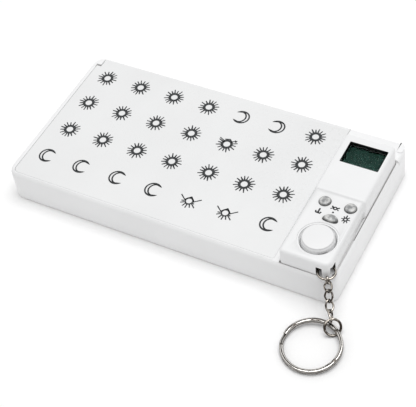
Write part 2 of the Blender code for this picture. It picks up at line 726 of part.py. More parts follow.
def make_tray(root):
    """The moulded tray: a deck that fills the bay and a grid of cells hanging from it."""
    deck = plan_of(
        LID_BAY_LEFT + SEAM, LID_BAY_RIGHT - SEAM, LID_BAY_FRONT + SEAM, TRAY_BACK, LID_BAY_CORNER - SEAM
    )
    deck_bottom = TRAY_TOP - TRAY_DECK
    half_x = COLUMNS * CELL_PITCH_X / 2 - CELL_WALL / 2 + TRAY_OUTER_WALL
    half_y = ROWS * CELL_PITCH_Y / 2 - CELL_WALL / 2 + TRAY_OUTER_WALL
    grid = plan_of(
        GRID_CENTRE_X - half_x,
        GRID_CENTRE_X + half_x,
        GRID_CENTRE_Y - half_y,
        GRID_CENTRE_Y + half_y,
        CELL_CORNER + TRAY_OUTER_WALL,
    )
    origin = (GRID_CENTRE_X, GRID_CENTRE_Y, TRAY_BOTTOM)
    mesh = lofted("pill_tray", block_rings(deck, deck_bottom, TRAY_TOP))
    tray = piece("pill_tray", mesh, "tray_plastic", origin, root)
    join(tray, "cell_grid", block_rings(grid, TRAY_BOTTOM, deck_bottom + TRAY_DECK / 2))
    cut(tray, "cells", *(cell_rings(x, y) for x, y in cell_centres()))
    return tray


def make_rear_case(parent):
    """The alarm unit's lower shell, with screw bosses, board posts and the battery cradle."""
    origin = (UNIT_LEFT, UNIT_FRONT, UNIT_BOTTOM)
    rings = [
        UNIT_PLAN.ring(UNIT_BOTTOM, CASE_FOOT_ROUND),
        UNIT_PLAN.ring(UNIT_BOTTOM + CASE_FOOT_ROUND),
        UNIT_PLAN.ring(REAR_CASE_TOP),
    ]
    shell = piece("fob_rear_case", lofted("fob_rear_case", rings), "white_plastic", origin, parent)
    hollow = [UNIT_PLAN.ring(z, UNIT_WALL) for z in (DOOR_TOP, REAR_CASE_TOP + OVERRUN)]
    cut(shell, "rear_hollow", hollow)
    join(shell, "cradle", *cradle_walls())
    join(shell, "door_block", door_block_rings())
    join(shell, "bosses", *(boss_rings(x, y) for x, y in HOUSING_SCREWS.values()))
    join(shell, "board_posts", *(board_post_rings(x, y) for x, y in board_posts()))
    opening = block_rings(DOOR_PLAN.grown(SEAM), UNIT_BOTTOM - OVERRUN, DOOR_TOP + SEAM)
    cut(shell, "door_opening", opening)
    cut(shell, "rear_bores", *(rear_bore_rings(x, y) for x, y in HOUSING_SCREWS.values()))
    pilot_top = DOOR_TOP + SEAM + DOOR_BLOCK_HEIGHT - CRADLE_WALL
    pilot = ((SCREW_BORE_RADIUS, UNIT_BOTTOM - OVERRUN), (SCREW_BORE_RADIUS, pilot_top))
    cut(shell, "door_pilot", turned(BATTERY_CENTRE_X, DOOR_SCREW_Y, pilot, SMALL_SIDES))
    return shell


def cradle_walls():
    """The two walls that hold the battery's contacts."""
    inner_left = UNIT_LEFT + UNIT_WALL / 2
    inner_right = UNIT_RIGHT - UNIT_WALL / 2
    low = UNIT_BOTTOM + UNIT_FLOOR / 2
    for front in (CRADLE_FRONT, CRADLE_BACK):
        wall = plan_of(inner_left, inner_right, front, front + CRADLE_WALL, SMALLEST_RADIUS, 1)
        yield block_rings(wall, low, low + CRADLE_HEIGHT)


def door_block_rings():
    """The block in front of the cradle that the door's screw bites into."""
    half = DOOR_BLOCK_SIDE / 2
    block = plan_of(
        BATTERY_CENTRE_X - half,
        BATTERY_CENTRE_X + half,
        DOOR_SCREW_Y - half,
        CRADLE_FRONT + CRADLE_WALL / 2,
        DOOR_CORNER,
        2,
    )
    return block_rings(block, UNIT_BOTTOM + UNIT_FLOOR / 2, DOOR_TOP + SEAM + DOOR_BLOCK_HEIGHT)


def boss_rings(x, y):
    """A round boss of the rear case, from its floor to its top."""
    profile = ((BOSS_RADIUS, UNIT_BOTTOM + UNIT_FLOOR / 2), (BOSS_RADIUS, REAR_CASE_TOP))
    return turned(x, y, profile, SMALL_SIDES)


def board_posts():
    """The four posts that the circuit board rests on."""
    inner_left = UNIT_LEFT + UNIT_WALL + BOARD_SIDE_GAP + BOARD_POST_RADIUS
    inner_right = UNIT_RIGHT - UNIT_WALL - BOARD_SIDE_GAP - KEYPAD_INSET - BOARD_POST_RADIUS
    battery_length = BATTERY_BACK - BATTERY_FRONT
    back_y = BATTERY_CENTRE_Y + battery_length / 4
    front_y = BATTERY_CENTRE_Y - battery_length / 3
    for x in (inner_left, inner_right):
        for y in (front_y, back_y):
            yield x, y


def board_post_rings(x, y):
    """One board post, which stands a little above the shell's edge."""
    profile = ((BOARD_POST_RADIUS, UNIT_BOTTOM + UNIT_FLOOR / 2), (BOARD_POST_RADIUS, BOARD_BOTTOM - SEAM))
    return turned(x, y, profile, SMALL_SIDES)


def rear_bore_rings(x, y):
    """A screw's way through the rear case, with a pocket for its head."""
    pocket_top = UNIT_BOTTOM + SCREW_HEAD_POCKET_DEPTH
    profile = (
        (SCREW_HEAD_POCKET_RADIUS, UNIT_BOTTOM - OVERRUN),
        (SCREW_HEAD_POCKET_RADIUS, pocket_top),
        (SCREW_BORE_RADIUS, pocket_top),
        (SCREW_BORE_RADIUS, REAR_CASE_TOP + OVERRUN),
    )
    return turned(x, y, profile, SMALL_SIDES)


def make_cover(parent):
    """The alarm unit's top shell: a keypad, a raised display end and the key ring corner."""
    keypad = rounded_rings(KEYPAD_PLAN, COVER_BOTTOM, KEYPAD_TOP, UNIT_EDGE_RUN, UNIT_EDGE_RISE)
    origin = (UNIT_LEFT, UNIT_FRONT, COVER_BOTTOM)
    cover = piece("fob_front_cover", lofted("fob_front_cover", keypad), "white_plastic", origin, parent)
    display = rounded_rings(DISPLAY_PLAN, COVER_BOTTOM, DISPLAY_TOP, UNIT_EDGE_RUN, UNIT_EDGE_RISE)
    join(cover, "display_end", display)
    boolean(cover, "DIFFERENCE", lower_hollow())
    ceiling = [KEYPAD_PLAN.ring(z, UNIT_WALL) for z in (RING_BLOCK_TOP, KEYPAD_CEILING)]
    cut(cover, "keypad_hollow", ceiling)
    display_hollow = [DISPLAY_PLAN.ring(z, UNIT_WALL) for z in (COVER_BOTTOM - OVERRUN, DISPLAY_CEILING)]
    cut(cover, "display_hollow", display_hollow)
    join(cover, "cover_bosses", *(cover_boss_rings(x, y) for x, y in HOUSING_SCREWS.values()))
    join(cover, "button_collar", button_collar_rings())
    cut(cover, "cover_pilots", *(cover_pilot_rings(x, y) for x, y in HOUSING_SCREWS.values()))
    cut(cover, "window", block_rings(WINDOW, DISPLAY_CEILING - SEAM, DISPLAY_TOP + OVERRUN))
    cut(cover, "key_holes", *key_hole_rings())
    cut(cover, "finger_slot", finger_slot_rings())
    boolean(cover, "DIFFERENCE", ring_tunnel())
    return cover


def lower_hollow():
    """The hollow under the keypad and the display, which leaves the key ring corner solid."""
    plan = Plan(UNIT_LEFT, KEYPAD_RIGHT, UNIT_FRONT, UNIT_BACK, KEYPAD_PLAN.corners)
    rings = [plan.ring(z, UNIT_WALL) for z in (COVER_BOTTOM - OVERRUN, RING_BLOCK_TOP + SEAM)]
    hollow = tool("cut_lower_hollow", lofted("lower_hollow", rings))
    kept = ((RING_BLOCK_RADIUS, COVER_BOTTOM - OVERRUN - SEAM), (RING_BLOCK_RADIUS, RING_BLOCK_TOP))
    return cut(hollow, "kept_corner", turned(RING_X, RING_Y, kept))


def cover_boss_rings(x, y):
    """A boss that hangs from the cover's ceiling down to the seam."""
    profile = ((BOSS_RADIUS, COVER_BOTTOM), (BOSS_RADIUS, KEYPAD_CEILING + UNIT_ROOF / 2))
    return turned(x, y, profile, SMALL_SIDES)


def cover_pilot_rings(x, y):
    """The blind hole that a housing screw bites into."""
    profile = ((SCREW_BORE_RADIUS, COVER_BOTTOM - OVERRUN), (SCREW_BORE_RADIUS, KEYPAD_CEILING - SEAM))
    return turned(x, y, profile, SMALL_SIDES)


def button_collar_rings():
    """The collar under the roof that gives the large button's dished surround its depth."""
    radius = BUTTON_HOLE_RADIUS + BUTTON_COLLAR_WALL
    profile = ((radius, BUTTON_COLLAR_BOTTOM), (radius, KEYPAD_CEILING + UNIT_ROOF / 2))
    return turned(*KEY_PLACES["button"], profile, BUTTON_SIDES)


def key_hole_rings():
    """The holes in the keypad's roof for the keys and the large button."""
    low = KEYPAD_CEILING - SEAM
    high = KEYPAD_TOP + OVERRUN
    for name in ("left", "right"):
        radius = ROUND_KEY_RADIUS + KEY_GAP
        yield turned(*KEY_PLACES[name], ((radius, low), (radius, high)))
    yield [bean_ring(z, KEY_GAP) for z in (low, high)]
    slope = (BUTTON_DISH_RADIUS - BUTTON_HOLE_RADIUS) / BUTTON_DISH_DEPTH
    profile = (
        (BUTTON_HOLE_RADIUS, BUTTON_COLLAR_BOTTOM - SEAM),
        (BUTTON_HOLE_RADIUS, BUTTON_DISH_BOTTOM),
        (BUTTON_DISH_RADIUS + slope * OVERRUN, high),
    )
    yield turned(*KEY_PLACES["button"], profile, BUTTON_SIDES)


def finger_slot_rings():
    """The undercut at the foot of the keypad's right side, where a fingertip lifts the unit."""
    low = COVER_BOTTOM - SEAM
    plan = plan_of(
        KEYPAD_RIGHT - FINGER_SLOT_DEPTH,
        KEYPAD_RIGHT + KEYPAD_INSET / 2,
        DISPLAY_FRONT - FINGER_SLOT_LENGTH,
        DISPLAY_FRONT - SEAM,
        SMALLEST_RADIUS,
        1,
    )
    return block_rings(plan, low, low + FINGER_SLOT_HEIGHT)


def ring_tunnel():
    """The ring-shaped way round the post, open to the front and to the right."""
    profile = ((RING_TUNNEL_RADIUS, TUNNEL_BOTTOM), (RING_TUNNEL_RADIUS, TUNNEL_TOP))
    tunnel = tool("cut_ring_tunnel", lofted("ring_tunnel", turned(RING_X, RING_Y, profile)))
    post = ((RING_POST_RADIUS, TUNNEL_BOTTOM - SEAM), (RING_POST_RADIUS, TUNNEL_TOP + SEAM))
    return cut(tunnel, "ring_post", turned(RING_X, RING_Y - RING_POST_SHIFT, post))


def bean_ring(z, margin=0.0, inset=0.0):
    """The bent oval of the small key, with its hollow side to the front."""
    x, y = KEY_PLACES["bean"]
    half_length = BEAN_HALF_LENGTH + margin - inset
    half_width = BEAN_HALF_WIDTH + margin - inset
    points = []
    for i in range(ROUND_SIDES):
        turn = 2 * math.pi * i / ROUND_SIDES
        along = math.cos(turn)
        bend = BEAN_BEND * (1 / 2 - along * along)
        points.append(Vector((x + half_length * along, y + half_width * math.sin(turn) + bend, z)))
    return points


def key_levels():
    """The levels of a key: stem foot, flange foot, flange top, cap edge and cap top."""
    stem_foot = PLUNGER_TOP + KEY_TRAVEL + SWITCH_GAP
    flange_top = KEYPAD_CEILING - SEAM
    return stem_foot, flange_top - KEY_FLANGE, flange_top, KEYPAD_TOP + KEY_STAND


def make_round_key(side, parent):
    """A round key with a domed cap, a retaining flange under the roof and a stem over its switch."""
    x, y = KEY_PLACES[side]
    stem_foot, flange_foot, flange_top, edge = key_levels()
    flange_radius = ROUND_KEY_RADIUS + KEY_FLANGE_LAP
    profile = [
        (KEY_STEM_RADIUS, stem_foot),
        (KEY_STEM_RADIUS, flange_foot),
        (flange_radius, flange_foot),
        (flange_radius, flange_top),
        (ROUND_KEY_RADIUS, flange_top),
    ]
    for step in range(EDGE_STEPS):
        angle = 0.5 * math.pi * step / EDGE_STEPS
        profile.append((ROUND_KEY_RADIUS * math.cos(angle), edge + KEY_DOME * math.sin(angle)))
    mesh = lofted(side, turned(x, y, profile))
    return piece(f"key_round_{side}", mesh, "key_plastic", (x, y, KEYPAD_TOP), parent)


def make_bean_key(parent):
    """The small bent key between the round ones and the large button."""
    stem_foot, flange_foot, flange_top, edge = key_levels()
    rings = [
        bean_ring(flange_foot, KEY_FLANGE_LAP),
        bean_ring(flange_top, KEY_FLANGE_LAP),
        bean_ring(flange_top),
        bean_ring(edge),
        bean_ring(edge + KEY_DOME / 2, 0.0, KEY_DOME / 2),
        bean_ring(edge + KEY_DOME, 0.0, KEY_DOME * 2),
    ]
    x, y = KEY_PLACES["bean"]
    key = piece("key_bean", lofted("key_bean", rings), "key_plastic", (x, y, KEYPAD_TOP), parent)
    stem = turned(x, y, ((KEY_STEM_RADIUS, stem_foot), (KEY_STEM_RADIUS, flange_top)), SMALL_SIDES)
    return join(key, "bean_stem", stem)


def make_button(parent):
    """The large button: a cap with a rounded edge, a flange under the collar and a stem over its switch."""
    x, y = KEY_PLACES["button"]
    cap_radius = BUTTON_HOLE_RADIUS - BUTTON_CAP_GAP
    flange_radius = BUTTON_HOLE_RADIUS + BUTTON_FLANGE_LAP
    flange_top = BUTTON_COLLAR_BOTTOM - SEAM
    flange_foot = flange_top - BUTTON_FLANGE
    cap_top = KEYPAD_TOP + BUTTON_CAP_STAND
    stem_foot = PLUNGER_TOP + BUTTON_TRAVEL + SWITCH_GAP
    profile = [
        (BUTTON_STEM_RADIUS, stem_foot),
        (BUTTON_STEM_RADIUS, flange_foot),
        (flange_radius, flange_foot),
        (flange_radius, flange_top),
        (cap_radius, flange_top),
    ]
    for step in range(EDGE_STEPS + 1):
        angle = 0.5 * math.pi * step / EDGE_STEPS
        run = BUTTON_CAP_ROUND * (1 - math.cos(angle))
        profile.append((cap_radius - run, cap_top - BUTTON_CAP_ROUND * (1 - math.sin(angle))))
    mesh = lofted("big_button", turned(x, y, profile, BUTTON_SIDES))
    button = piece("big_button", mesh, "white_plastic", (x, y, KEYPAD_TOP), parent)
    relief_radius = RING_BLOCK_RADIUS + SEAM
    relief_top = RING_BLOCK_TOP + BUTTON_TRAVEL + SEAM
    relief = ((relief_radius, stem_foot - SEAM), (relief_radius, relief_top))
    return cut(button, "ring_relief", turned(RING_X, RING_Y, relief))


def make_switch(side, parent):
    """A small push switch on the board, under one of the keys."""
    x, y = KEY_PLACES[side]
    half = SWITCH_SIDE / 2
    plan = plan_of(x - half, x + half, y - half, y + half, SWITCH_CORNER, 1)
    body_top = SWITCH_BOTTOM + SWITCH_HEIGHT
    mesh = lofted(side, block_rings(plan, SWITCH_BOTTOM, body_top))
    switch = piece(f"switch_{side}", mesh, "dark_plastic", (x, y, SWITCH_BOTTOM), parent)
    plunger_foot = SWITCH_BOTTOM + SWITCH_HEIGHT / 2
    profile = ((SWITCH_PLUNGER_RADIUS, plunger_foot), (SWITCH_PLUNGER_RADIUS, PLUNGER_TOP))
    return join(switch, f"plunger_{side}", turned(x, y, profile, SMALL_SIDES))


def make_board(parent):
    """The circuit board, with notches round the housing bosses."""
    plan = plan_of(
        UNIT_LEFT + UNIT_WALL + BOARD_SIDE_GAP,
        KEYPAD_RIGHT - UNIT_WALL - BOARD_SIDE_GAP,
        UNIT_FRONT + BOARD_FRONT_MARGIN,
        UNIT_BACK - BOARD_BACK_MARGIN,
        SMALLEST_RADIUS,
        1,
    )
    mesh = lofted("circuit_board", block_rings(plan, BOARD_BOTTOM, BOARD_TOP))
    origin = (plan.left, plan.front, BOARD_BOTTOM)
    board = piece("circuit_board", mesh, "board_green", origin, parent)
    notches = []
    for name in ("back_left", "back_right"):
        radius = BOSS_RADIUS + SEAM
        profile = ((radius, BOARD_BOTTOM - OVERRUN), (radius, BOARD_TOP + OVERRUN))
        notches.append(turned(*HOUSING_SCREWS[name], profile, SMALL_SIDES))
    return cut(board, "board_notches", *notches)


def make_display(parent):
    """The clear window, the display glass under it and the rubber strip that joins the glass to the board."""
    lens_plan = WINDOW.grown(LENS_LAP)
    lens_bottom = LENS_TOP - LENS_THICKNESS
    origin = (WINDOW.left, WINDOW.front, lens_bottom)
    mesh = lofted("lcd_lens", block_rings(lens_plan, lens_bottom, LENS_TOP))
    piece("lcd_lens", mesh, "clear_lens", origin, parent)
    glass_plan = WINDOW.grown(GLASS_LAP)
    origin = (WINDOW.left, WINDOW.front, GLASS_BOTTOM)
    mesh = lofted("lcd_glass", block_rings(glass_plan, GLASS_BOTTOM, GLASS_TOP))
    piece("lcd_glass", mesh, "display_green", origin, parent)
    strip_plan = plan_of(
        glass_plan.left + STRIP_SIDE_MARGIN,
        glass_plan.right - STRIP_SIDE_MARGIN,
        glass_plan.back - STRIP_WIDTH,
        glass_plan.back,
        SMALLEST_RADIUS,
        1,
    )
    strip = block_rings(strip_plan, BOARD_TOP + SEAM, GLASS_BOTTOM - SEAM)
    origin = (strip_plan.left, strip_plan.front, BOARD_TOP + SEAM)
    piece("contact_strip", lofted("contact_strip", strip), "black_rubber", origin, parent)


def make_buzzer(parent):
    """The round buzzer on the board, with a sound hole in its top."""
    x = UNIT_LEFT + BATTERY_X
    y = UNIT_FRONT + BUZZER_Y
    low = BOARD_TOP + SEAM
    top = low + BUZZER_HEIGHT
    mesh = lofted("buzzer", turned(x, y, ((BUZZER_RADIUS, low), (BUZZER_RADIUS, top)), MEDIUM_SIDES))
    buzzer = piece("buzzer", mesh, "dark_plastic", (x, y, low), parent)
    vent = ((BUZZER_VENT_RADIUS, top - BUZZER_VENT_DEPTH), (BUZZER_VENT_RADIUS, top + OVERRUN))
    return cut(buzzer, "buzzer_vent", turned(x, y, vent, SMALL_SIDES))


def make_battery(parent):
    """The round battery cell along the unit, and a contact plate at each of its ends."""
    profile = (
        (CELL_RADIUS - CELL_RIM_ROUND, BATTERY_FRONT),
        (CELL_RADIUS, BATTERY_FRONT + CELL_RIM_ROUND),
        (CELL_RADIUS, BATTERY_BACK - CELL_RIM_ROUND),
        (CELL_RADIUS - CELL_RIM_ROUND, BATTERY_BACK),
        (CELL_TIP_RADIUS, BATTERY_BACK),
        (CELL_TIP_RADIUS, BATTERY_BACK + CELL_TIP_LENGTH),
    )
    centre = (BATTERY_CENTRE_X, BATTERY_CENTRE_Y, BATTERY_CENTRE_Z)
    rings = along_y(BATTERY_CENTRE_X, BATTERY_CENTRE_Z, profile, MEDIUM_SIDES)
    piece("battery_cell", lofted("battery_cell", rings), "battery_wrap", centre, parent)
    for name, front in (("battery_contact_front", CONTACT_FRONT), ("battery_contact_back", CONTACT_BACK)):
        plan = plan_of(
            BATTERY_CENTRE_X - CONTACT_WIDTH / 2,
            BATTERY_CENTRE_X + CONTACT_WIDTH / 2,
            front,
            front + CONTACT_THICKNESS,
            SMALLEST_RADIUS,
            1,
        )
        low = BATTERY_CENTRE_Z - CONTACT_HEIGHT / 2
        mesh = lofted(name, block_rings(plan, low, low + CONTACT_HEIGHT))
        piece(name, mesh, "steel", (BATTERY_CENTRE_X, front, low), parent)


def make_battery_door(parent):
    """The plate that closes the battery compartment, held by one screw."""
    mesh = lofted("battery_door", block_rings(DOOR_PLAN, UNIT_BOTTOM, DOOR_TOP))
    door = piece("battery_door", mesh, "white_plastic", (BATTERY_CENTRE_X, DOOR_SCREW_Y, UNIT_BOTTOM), parent)
    head_top = UNIT_BOTTOM + UNIT_FLOOR / 2
    hole = (
        (SCREW_HEAD_POCKET_RADIUS, UNIT_BOTTOM - OVERRUN),
        (SCREW_HEAD_POCKET_RADIUS, head_top),
        (SCREW_BORE_RADIUS, head_top),
        (SCREW_BORE_RADIUS, DOOR_TOP + OVERRUN),
    )
    return cut(door, "door_hole", turned(BATTERY_CENTRE_X, DOOR_SCREW_Y, hole, SMALL_SIDES))


def make_screw(name, x, y, head_top, head_height, length, parent):
    """A screw that goes in from below: a flat head with a round drive, and a shank that stands up from it."""
    head_bottom = head_top - head_height
    profile = (
        (SCREW_HEAD_RADIUS, head_bottom),
        (SCREW_HEAD_RADIUS, head_top),
        (SCREW_RADIUS, head_top),
        (SCREW_RADIUS, head_bottom + length),
    )
    mesh = lofted(name, turned(x, y, profile, SMALL_SIDES))
    screw = piece(name, mesh, "steel", (x, y, head_bottom), parent)
    depth = min(SCREW_DRIVE_DEPTH, head_height / 2)
    drive = ((SCREW_DRIVE_RADIUS, head_bottom - OVERRUN), (SCREW_DRIVE_RADIUS, head_bottom + depth))
    return cut(screw, f"drive_{name}", turned(x, y, drive, SMALL_SIDES // 2))


def make_screws(parent):
    """The three housing screws and the battery door's screw."""
    head_top = UNIT_BOTTOM + SCREW_HEAD_POCKET_DEPTH - SEAM
    for name, (x, y) in HOUSING_SCREWS.items():
        make_screw(f"fob_screw_{name}", x, y, head_top, SCREW_HEAD_HEIGHT, CASE_SCREW_LENGTH, parent)
    door_head_top = UNIT_BOTTOM + UNIT_FLOOR / 2 - SEAM / 2
    door_head_height = door_head_top - UNIT_BOTTOM
    make_screw(
        "battery_door_screw",
        BATTERY_CENTRE_X,
        DOOR_SCREW_Y,
        door_head_top,
        door_head_height,
        DOOR_SCREW_LENGTH,
        parent,
    )


def wire(name, points, radius, origin, parent):
    """A closed bent wire, as a cyclic curve with a round bevel."""
    curve = bpy.data.curves.new(name, "CURVE")
    curve.dimensions = "3D"
    curve.bevel_depth = radius
    curve.bevel_resolution = 2
    spline = curve.splines.new("POLY")
    spline.points.add(len(points) - 1)
    for place, point in zip(spline.points, points):
        place.co = (*(point - Vector(origin)), 1.0)
    spline.use_cyclic_u = True
    curve.materials.append(finish("nickel"))
    obj = bpy.data.objects.new(name, curve)
    bpy.context.scene.collection.objects.link(obj)
    return hang(obj, origin, parent)


def chain_frame(slope):
    """A link's own directions: down the chain, across it, and out of it."""
    outward = Vector((math.sin(CHAIN_AZIMUTH), -math.cos(CHAIN_AZIMUTH), 0.0))
    across = Vector((math.cos(CHAIN_AZIMUTH), math.sin(CHAIN_AZIMUTH), 0.0))
    down = math.sin(slope) * outward + Vector((0.0, 0.0, -math.cos(slope)))
    return down, across, down.cross(across)


def link_points(centre, frame, half_length, half_width, twists):
    """A curb link: an oval whose plane turns steadily from one end to the other."""
    down, across, out = frame
    start, end = twists
    points = []
    for i in range(LINK_POINTS):
        turn = 2 * math.pi * (i + 0.5) / LINK_POINTS
        along = math.sin(turn)
        angle = start + (end - start) * (along + 1) / 2
        side = math.cos(angle) * across + math.sin(angle) * out
        points.append(centre + half_length * along * down + half_width * math.cos(turn) * side)
    return points


def chain_layout():
    """Each link's pivot, frame and centre line, from the wire loop down to the jump ring."""
    crossing = 2 * LINK_WIRE + LINK_CLEARANCE
    outward, _, _ = chain_frame(math.pi / 2)
    pivot = LOOP_CENTRE + LOOP_RADIUS * outward
    layout = []
    for index, slope in enumerate(LINK_SLOPES):
        first = index == 0
        frame = chain_frame(slope)
        length = FIRST_LINK_LENGTH if first else LINK_LENGTH
        width = FIRST_LINK_WIDTH if first else LINK_WIDTH
        half_length = length / 2 - LINK_WIRE
        head = LOOP_WIRE + LINK_WIRE + LINK_CLEARANCE if first else crossing / 2
        centre = pivot + (half_length - head) * frame[0]
        last = index == len(LINK_SLOPES) - 1
        twists = (FIRST_LINK_TWIST if first else -LINK_TWIST, LAST_LINK_TWIST if last else LINK_TWIST)
        points = link_points(centre, frame, half_length, width / 2 - LINK_WIRE, twists)
        layout.append((pivot, points))
        pivot = pivot + (2 * half_length - head - crossing / 2) * frame[0]
    return layout, pivot


def make_chain(parent):
    """The wire loop round the post and the twisted links that hang from it."""
    outward, across, _ = chain_frame(math.pi / 2)
    loop = []
    for i in range(LOOP_POINTS):
        turn = 2 * math.pi * i / LOOP_POINTS
        loop.append(LOOP_CENTRE + LOOP_RADIUS * (math.cos(turn) * outward + math.sin(turn) * across))
    holder = wire("key_loop", loop, LOOP_WIRE, LOOP_CENTRE, parent)
    layout, end = chain_layout()
    for index, (pivot, points) in enumerate(layout, start=1):
        holder = wire(f"chain_link_{index}", points, LINK_WIRE, pivot, holder)
    return holder, end


def jump_ring_frame():
    """The jump ring's level direction and its direction uphill, both in its plane."""
    level = Vector((math.cos(JUMP_RING_AZIMUTH), math.sin(JUMP_RING_AZIMUTH), 0.0))
    back = Vector((-math.sin(JUMP_RING_AZIMUTH), math.cos(JUMP_RING_AZIMUTH), 0.0))
    uphill = math.cos(JUMP_RING_LEAN) * back + Vector((0.0, 0.0, math.sin(JUMP_RING_LEAN)))
    return level, uphill


def make_jump_ring(parent, end):
    """The round ring between the last link and the split ring, leaning on the table."""
    level, uphill = jump_ring_frame()
    lift = JUMP_RING_RADIUS * math.sin(JUMP_RING_LEAN) + JUMP_RING_WIRE + TABLE_GAP
    crossing = (LINK_WIRE + LINK_CLEARANCE + JUMP_RING_WIRE) / 2
    top = end - crossing * chain_frame(LINK_SLOPES[-1])[0]
    centre = top - JUMP_RING_RADIUS * uphill
    centre.z = lift
    points = []
    for i in range(JUMP_RING_POINTS):
        turn = 2 * math.pi * i / JUMP_RING_POINTS
        points.append(centre + JUMP_RING_RADIUS * (math.cos(turn) * uphill + math.sin(turn) * level))
    pivot = centre + JUMP_RING_RADIUS * uphill
    return wire("jump_ring", points, JUMP_RING_WIRE, pivot, parent), centre


def split_ring_section():
    """The chamfered section of the ring's flat wire, as (outward, up) pairs."""
    half_band = SPLIT_RING_BAND / 2
    half_coil = SPLIT_RING_COIL / 2
    short_band = half_band - SPLIT_RING_CHAMFER
    short_coil = half_coil - SPLIT_RING_CHAMFER
    return (
        (half_band, -short_coil),
        (half_band, short_coil),
        (short_band, half_coil),
        (-short_band, half_coil),
        (-half_band, short_coil),
        (-half_band, -short_coil),
        (-short_band, -half_coil),
        (short_band, -half_coil),
    )


def make_split_ring(parent, through):
    """Two turns of flat wire, one on the other, with one side lifted by the jump ring that runs under it."""
    outer_radius = SPLIT_RING_RADIUS + SPLIT_RING_BAND / 2
    centre = Vector(
        (
            through.x + SPLIT_RING_REACH * math.sin(SPLIT_RING_AZIMUTH),
            through.y - SPLIT_RING_REACH * math.cos(SPLIT_RING_AZIMUTH),
            TABLE_GAP + outer_radius * math.sin(SPLIT_RING_TILT),
        )
    )
    level = Vector((math.cos(SPLIT_RING_AZIMUTH), math.sin(SPLIT_RING_AZIMUTH), 0.0))
    tilt = Matrix.Rotation(SPLIT_RING_TILT, 3, level)
    climb = SPLIT_RING_COIL + SPLIT_RING_GAP
    sweep = 4 * math.pi - SPLIT_RING_STEP
    count = round(SPLIT_RING_POINTS * sweep / (2 * math.pi))
    rings = []
    for i in range(count + 1):
        turn = sweep * i / count
        share = (turn - 2 * math.pi + SPLIT_RING_STEP) / SPLIT_RING_STEP
        share = min(max(share, 0.0), 1.0)
        height = climb * share * share * (3 - 2 * share)
        angle = SPLIT_RING_START + turn
        outward = Vector((math.cos(angle), math.sin(angle), 0.0))
        middle = Vector((0.0, 0.0, height + SPLIT_RING_COIL / 2))
        rings.append(
            [
                centre + tilt @ (middle + (SPLIT_RING_RADIUS + out) * outward + Vector((0.0, 0.0, up)))
                for out, up in split_ring_section()
            ]
        )
    return piece("split_ring", lofted("split_ring", rings), "nickel", through, parent)


def main():
    """Builds the organizer, from its case up to its key ring."""
    clear_scene()
    root = anchor("pill_organizer", (0.0, 0.0, 0.0))
    make_case(root)
    make_tray(root)
    make_hinge_rod(root)
    make_lid(anchor("lid_hinge", (0.0, HINGE_Y, HINGE_Z), root))
    unit = anchor("alarm_unit", (UNIT_LEFT, UNIT_FRONT, UNIT_BOTTOM), root)
    make_rear_case(unit)
    make_cover(unit)
    make_display(unit)
    make_board(unit)
    make_buzzer(unit)
    make_battery(unit)
    make_battery_door(unit)
    make_screws(unit)
    for side in ("left", "right"):
        make_round_key(side, unit)
    make_bean_key(unit)
    make_button(unit)
    for side in KEY_PLACES:
        make_switch(side, unit)
    last_link, end = make_chain(unit)
    jump_ring, through = make_jump_ring(last_link, end)
    make_split_ring(jump_ring, through)


main()
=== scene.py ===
"""Looks of an electronic pill organizer: finishes, fine edges, printed marks, chain, rings and studio.

Lengths are in metres, +Z up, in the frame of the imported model.
"""

import logging
import math
from dataclasses import dataclass, field
from enum import Enum
from statistics import mode
from typing import Sequence

import bmesh
import bpy
from bmesh.types import BMVert
from bpy.types import Material, MeshPolygon, Node, NodeSocket, NodeTree, Object
from mathutils import Matrix, Vector


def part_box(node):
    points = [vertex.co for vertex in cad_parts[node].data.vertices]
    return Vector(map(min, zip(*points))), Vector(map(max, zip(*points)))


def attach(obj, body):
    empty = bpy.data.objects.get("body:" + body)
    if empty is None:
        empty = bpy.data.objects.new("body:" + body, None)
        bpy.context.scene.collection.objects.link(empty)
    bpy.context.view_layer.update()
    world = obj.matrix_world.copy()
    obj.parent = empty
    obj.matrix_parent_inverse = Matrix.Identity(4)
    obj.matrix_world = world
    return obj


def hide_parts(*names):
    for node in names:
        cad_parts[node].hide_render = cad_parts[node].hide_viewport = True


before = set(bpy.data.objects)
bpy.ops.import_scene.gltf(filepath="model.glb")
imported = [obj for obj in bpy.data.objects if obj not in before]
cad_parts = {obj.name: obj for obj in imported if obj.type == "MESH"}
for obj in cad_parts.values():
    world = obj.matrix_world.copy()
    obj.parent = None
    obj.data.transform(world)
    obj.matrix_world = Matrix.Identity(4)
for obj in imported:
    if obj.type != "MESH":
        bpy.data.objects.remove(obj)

LOG = logging.getLogger("pill_organizer")
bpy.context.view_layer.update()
UP = Vector((0.0, 0.0, 1.0))

Colour = tuple[float, float, float]
Place = tuple[float, float, float]
Span = tuple[float, float]
Outline = list[Span]
Stroke = tuple[float, float, float, float, float, float]


class Slot(Enum):
    """The record's material slots."""

    HOUSING = "white_housing"
    LID = "lid_panel"
    TRAY = "tray_plastic"
    KEYS = "key_plastic"
    WINDOW = "window"
    DISPLAY = "display"
    BOARD = "board"
    RUBBER = "rubber"
    DARK = "dark_plastic"
    NICKEL = "nickel"
    STEEL = "steel"
    BATTERY = "battery"


class Mark(Enum):
    """The marks that are printed on the lid."""

    SUN = "sun"
    SPOILED_SUN = "sun with crossed strokes over it"
    OPEN_RIGHT = "crescent that opens to the right"
    OPEN_LEFT = "crescent that opens to the left"
    SUNRISE = "sunrise"


class Effect(Enum):
    """The effects that several finishes share, by the names of their node groups."""

    GRAIN = "moulded_grain"
    OCCLUSION = "crevice_occlusion"
    WEAR = "edge_wear"
    STREAKS = "fine_streaks"


